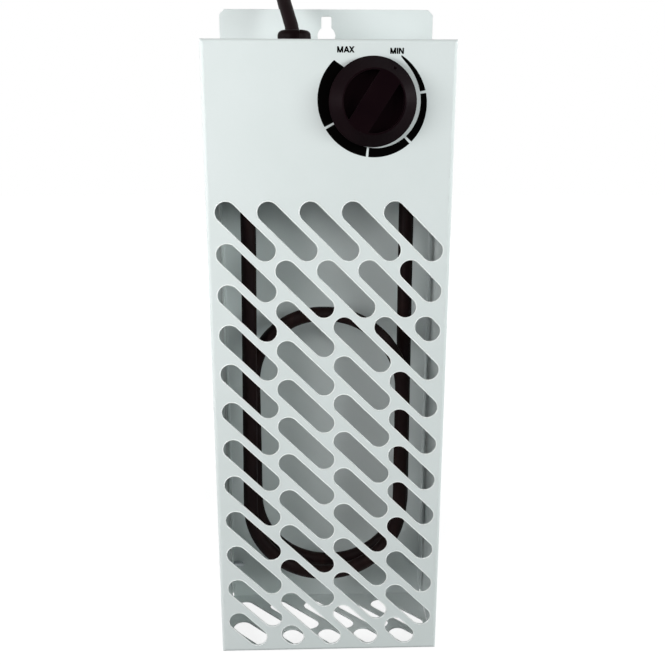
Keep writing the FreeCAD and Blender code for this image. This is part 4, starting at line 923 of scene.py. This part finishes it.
@dataclass
class Control:
    """Thermostat knob, and the scale printed round it, with angles in degrees."""

    centre: tuple[float, float] = (20.7, 303.5)
    front: float = -22.0
    ink: float = 0.07
    outer_radius: float = 26.1
    oval: float = 0.6
    oval_angle: float = -33.0
    start: float = 57.5
    end: float = -226.2
    end_skew: float = -3.7
    zero_width: float = 0.45
    widening: float = 0.33
    gaps: tuple[float, ...] = (11.0, -45.0, -95.0, -152.0)
    gap_width: float = 1.2
    gap_inset: float = 1.0
    steps_per_degree: float = 0.8
    weld: float = 0.0001
    words: tuple[Word, ...] = (
        Word("MAX", ((3.7, 6.6), (6.8, 9.55), (9.35, 11.9)), 326.1, 328.9),
        Word("MIN", ((28.9, 31.7), (32.0, 32.7), (32.95, 35.4)), 325.6, 328.3),
    )
    bold: float = 0.68
    bar_inks: float = 4.0

    def segment_tree(self) -> Group:
        """A tree that bends a flat grid into one segment of the tapering band.

        Returns:
            The tree, with one segment between two angles.
        """
        sorts = floats("Start", "Sweep", "Skew", *BAND_ANGLES, *BAND_SIZES)
        sorts |= {"Middle": Socket.VECTOR, "Steps": Socket.INTEGER}
        graph = Group("Scale segment", Kind.GEOMETRY, sorts, {"Segment": Socket.GEOMETRY})
        given = graph.given
        grid = {"Size X": 1.0, "Size Y": 1.0, "Vertices X": given["Steps"], "Vertices Y": 2}
        grid = graph.geo("MeshGrid", grid)
        place = graph.geo("InputPosition")
        place = graph.add("ShaderNodeSeparateXYZ", {0: place}).outputs
        along, inward = (graph.plus(place[axis], 0.5) for axis in ("X", "Y"))
        sweep = graph.plus(given["Sweep"], graph.times(inward, given["Skew"]))
        angle = graph.plus(given["Start"], graph.times(along, sweep))
        turned = graph.maths("MAXIMUM", graph.minus(given["Zero angle"], angle), 0.0)
        growth = graph.times(graph.maths("POWER", turned, 0.5), given["Widening"])
        width = graph.plus(given["Zero width"], growth)
        from_long = graph.times(graph.minus(angle, given["Oval angle"]), 2.0)
        stretch = graph.maths("COSINE", graph.maths("RADIANS", from_long))
        outer = graph.plus(given["Outer radius"], graph.times(stretch, given["Oval"]))
        radius = graph.minus(outer, graph.times(inward, width))
        radians = graph.maths("RADIANS", angle)
        across, up = (graph.times(radius, graph.maths(way, radians)) for way in ("COSINE", "SINE"))
        point = graph.vectors("ADD", graph.vector(across, 0.0, up), given["Middle"])
        face = graph.geo("SetPosition", {"Geometry": grid, "Position": point})
        lift = graph.vector(y=graph.times(given["Ink"], -1.0))
        raised = {"Mesh": face, "Offset": lift, "Offset Scale": 1.0, "Individual": False}
        raised = graph.geo("ExtrudeMesh", raised, mode="FACES")
        back = graph.geo("FlipFaces", {"Mesh": face})
        both = graph.geo("JoinGeometry", {0: [raised, back]})
        closed = {"Geometry": both, "Distance": self.weld * MM}
        graph.give("Segment", graph.geo("MergeByDistance", closed))
        return graph

    def scale_tree(self, material: Material) -> Group:
        """A tree that joins the band's segments, with a gap at each mark.

        Args:
            material: The ink.

        Returns:
            The tree.
        """
        passed = (*BAND_ANGLES, *BAND_SIZES)
        sorts = {"Seat": Socket.GEOMETRY, "Middle": Socket.VECTOR} | floats(*passed)
        graph = Group("Scale band", Kind.GEOMETRY, sorts, {"Band": Socket.GEOMETRY})
        segment = self.segment_tree()
        half_gap = math.degrees(self.gap_width / 2 / (self.outer_radius - self.gap_inset))
        starts = [self.start] + [gap - half_gap for gap in self.gaps]
        ends = [gap + half_gap for gap in self.gaps] + [self.end]
        pieces = []
        for start, end in zip(starts, ends):
            own = {
                "Start": start, "Sweep": end - start,
                "Skew": self.end_skew if end == self.end else 0.0,
                "Steps": max(2, round((start - end) * self.steps_per_degree)),
            }
            own |= {name: graph.given[name] for name in ("Middle", *passed)}
            pieces.append(segment.used(graph, own)["Segment"])
        joined = graph.geo("JoinGeometry", {0: pieces})
        graph.give("Band", graph.worn(joined, material))
        return graph

    def band(self, paint: Paint) -> None:
        """Makes the printed band."""
        band = linked("scale_band", bpy.data.meshes.new("scale_band"))
        grown(band, self.scale_tree(paint.material(PRINT_INK)), lengths(self, BAND_SIZES) | {
            "Oval angle": self.oval_angle, "Zero angle": self.start,
            "Middle": metres(self.centre[0], self.front, self.centre[1]),
        })
        mount(band, "casing")

    def word_tree(self, material: Material) -> Group:
        """A tree that lays a bar along each stroke of a word and cuts them off at its height.

        Args:
            material: The ink.

        Returns:
            The tree, which starts from a point at each stroke's middle.
        """
        sorts = {"Strokes": Socket.GEOMETRY, "Middle": Socket.VECTOR, "Size": Socket.VECTOR}
        sorts |= floats(*WORD_SIZES)
        graph = Group("Printed word", Kind.GEOMETRY, sorts, {"Word": Socket.GEOMETRY})
        given = graph.given
        run = graph.carried("run")
        long = graph.plus(graph.vectors("LENGTH", run), given["Bold"])
        size = graph.vector(long, graph.times(given["Ink"], self.bar_inks), given["Bold"])
        turn = {"Vector": run}
        turn = graph.out("FunctionNodeAlignRotationToVector", turn, axis="X", pivot_axis="Y")
        bars = {"Points": given["Strokes"], "Instance": graph.geo("MeshCube")}
        bars = graph.geo("InstanceOnPoints", bars | {"Rotation": turn, "Scale": size})
        bars = graph.geo("RealizeInstances", {"Geometry": bars})
        whole = {1: bars, "Self Intersection": True}
        whole = graph.geo("MeshBoolean", whole, solver="EXACT", operation="UNION")
        block = graph.geo("MeshCube", {"Size": given["Size"]})
        block = graph.geo("Transform", {"Geometry": block, "Translation": given["Middle"]})
        cut = {1: [whole, block]}
        cut = graph.geo("MeshBoolean", cut, solver="EXACT", operation="INTERSECT")
        graph.give("Word", graph.worn(cut, material))
        return graph

    def word(self, tree: Group, word: Word) -> None:
        """Makes one printed word.

        Args:
            tree: What turns strokes into a word.
            word: The word.
        """
        face = self.front - self.ink / 2
        middles, runs = [], []
        tall = word.high - word.low
        for letter, (left, right) in zip(word.text, word.letters):
            left, right = left + self.bold / 2, right - self.bold / 2
            for stroke in STROKES[letter]:
                start, end = (
                    metres(left + across * (right - left), face, word.low + up * tall)
                    for across, up in (stroke[:2], stroke[2:])
                )
                middles.append((start + end) / 2)
                runs.append(end - start)
        made = seats(f"word_{word.text.lower()}", middles, "run", runs)
        left, right = word.letters[0][0], word.letters[-1][1]
        grown(made, tree, lengths(self, WORD_SIZES) | {
            "Middle": metres((left + right) / 2, face, (word.low + word.high) / 2),
            "Size": metres(right - left + 2 * self.bold, self.ink, tall),
        })
        mount(made, "casing")

    def build(self, paint: Paint) -> None:
        """Makes the prints and finishes the knob and the thermostat behind it."""
        self.band(paint)
        tree = self.word_tree(paint.material(PRINT_INK))
        for word in self.words:
            self.word(tree, word)
        paint.nodes(KNOB_PLASTIC, "knob")
        paint.nodes(HOUSING, "thermostat_body")
        paint.nodes(BRASS, "thermostat_tabs")
        paint.nodes(ZINC, "knob_clip", "thermostat_shaft", "thermostat_plate", "thermostat_screws")


class Insides:
    """The element, and the shelf with what stands on it."""

    def build(self, paint: Paint) -> None:
        """Finishes every piece."""
        paint.nodes(DARK_SHEATH, "heating_element")
        paint.nodes(ZINC, "element_plate", "element_bushes", "element_nuts", "element_pins")
        paint.nodes(ZINC, "cutout_screws", "terminal_screws", "block_screw", "earth_stud", "earth_nut")
        paint.nodes(BEAD, "element_insulators")
        paint.nodes(CUTOUT, "thermal_cutout")
        paint.nodes(BRASS, "cutout_tabs", "earth_tag")
        paint.nodes(BLOCK, "terminal_block")
        paint.nodes(CORE_GREY, "cord_cores")
        paint.nodes(WIRE_BROWN, "live_wire", "switched_wire", "element_wire")
        paint.nodes(WIRE_BLUE, "neutral_wire")
        paint.nodes(WIRE_EARTH, "earth_wire")


@dataclass(frozen=True)
class Lamp:
    """One soft lamp, aimed at a height above the origin, in metres."""

    name: str
    place: Point
    aim: float
    width: float
    height: float
    power: float
    colour: Point = (1.0, 1.0, 1.0)

    def build(self) -> None:
        """Puts the lamp into the scene."""
        data = bpy.data.lights.new(self.name, "AREA")
        data.shape = "RECTANGLE"
        data.size = self.width
        data.size_y = self.height
        data.energy = self.power
        data.color = self.colour
        made = linked(self.name, data)
        way = Vector((0.0, 0.0, self.aim)) - Vector(self.place)
        turn = way.to_track_quat("-Z", "Y").to_matrix().to_4x4()
        made.matrix_world = Matrix.Translation(self.place) @ turn
        made.visible_camera = False


@dataclass
class Studio:
    """Pale floor, soft lamps and a white surround, in metres."""

    floor_size: float = 6.0
    floor_colour: Colour = rgb(236, 237, 237)
    near_glow: float = 0.84
    far_glow: float = 1.0
    glow_reach: tuple[float, float] = (0.2, 0.8)
    floor_share: float = 0.3
    bounce_share: float = 0.2
    ambient: float = 0.18
    lamps: tuple[Lamp, ...] = (
        Lamp("left_lamp", (-1.05, -0.01, 0.4), 0.27, 0.25, 0.35, 3.7),
        Lamp("right_lamp", (1.0, 0.12, 0.5), 0.27, 0.25, 0.35, 3.8),
        Lamp("left_front_lamp", (-0.42, -0.38, 0.35), 0.3, 0.3, 0.2, 2.1),
        Lamp("right_front_lamp", (0.73, -0.63, 0.43), 0.3, 0.5, 0.2, 5.0, (0.945, 1.0, 0.985)),
        Lamp("rear_lamp", (0.3, 1.6, 0.6), 0.2, 1.2, 0.4, 8.0),
    )

    @staticmethod
    def seen(graph: Graph) -> Output:
        """A value that is 1 for what the camera sees straight, mirrored or through glass."""
        path = graph.add("ShaderNodeLightPath").outputs
        undimmed = graph.maths("LESS_THAN", path["Diffuse Depth"], 0.5)
        mirrored = graph.maths("MAXIMUM", path["Is Glossy Ray"], path["Is Transmission Ray"])
        return graph.maths("MAXIMUM", path["Is Camera Ray"], graph.times(mirrored, undimmed))

    def floor(self) -> None:
        """Makes the floor: white to the camera, with the object's shadow, and clear from below."""
        half = self.floor_size / 2
        mesh = bpy.data.meshes.new("floor")
        corners = [(-half, -half, 0), (half, -half, 0), (half, half, 0), (-half, half, 0)]
        mesh.from_pydata(corners, [], [range(len(corners))])
        made = bpy.data.materials.new("floor")
        graph = emptied(made)
        shares = (self.bounce_share, self.floor_share)
        tones = (tuple(share * part for part in self.floor_colour) for share in shares)
        dull, shaded = (graph.out("ShaderNodeBsdfDiffuse", {"Color": tone}) for tone in tones)
        far = graph.vectors("LENGTH", graph.place())
        strength = graph.spread(far, *self.glow_reach, self.near_glow, self.far_glow)
        glow = graph.out("ShaderNodeEmission", {"Strength": strength})
        white = graph.out("ShaderNodeAddShader", {0: shaded, 1: glow})
        mixed = graph.out("ShaderNodeMixShader", {0: self.seen(graph), 1: dull, 2: white})
        clear = graph.out("ShaderNodeBsdfTransparent")
        shown = {0: graph.facing()["Backfacing"], 1: mixed, 2: clear}
        shown = graph.out("ShaderNodeMixShader", shown)
        graph.add("ShaderNodeOutputMaterial", {"Surface": shown})
        mesh.materials.append(made)
        linked("floor", mesh)

    def surround(self) -> None:
        """Makes the world: white to the camera, a soft fill to the object."""
        world = bpy.data.worlds.new("surround")
        bpy.context.scene.world = world
        graph = emptied(world)
        strength = graph.spread(self.seen(graph), 0.0, 1.0, self.ambient)
        fill = graph.out("ShaderNodeBackground", {"Color": WHITE, "Strength": strength})
        graph.add("ShaderNodeOutputWorld", {"Surface": fill})

    def build(self) -> None:
        """Makes the floor, the surround and the lamps."""
        self.floor()
        self.surround()
        for lamp in self.lamps:
            lamp.build()
        bpy.context.scene.view_settings.view_transform = "Standard"


def main() -> None:
    """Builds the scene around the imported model."""
    logging.basicConfig(level=logging.INFO, format="%(name)s: %(message)s")
    Camera().build()
    paint = Paint()
    for assembly in (Lead(), Casing(), Control(), Insides()):
        assembly.build(paint)
        LOG.info("%s is built", type(assembly).__name__)
    Studio().build()


if __name__ == "__main__":
    main()
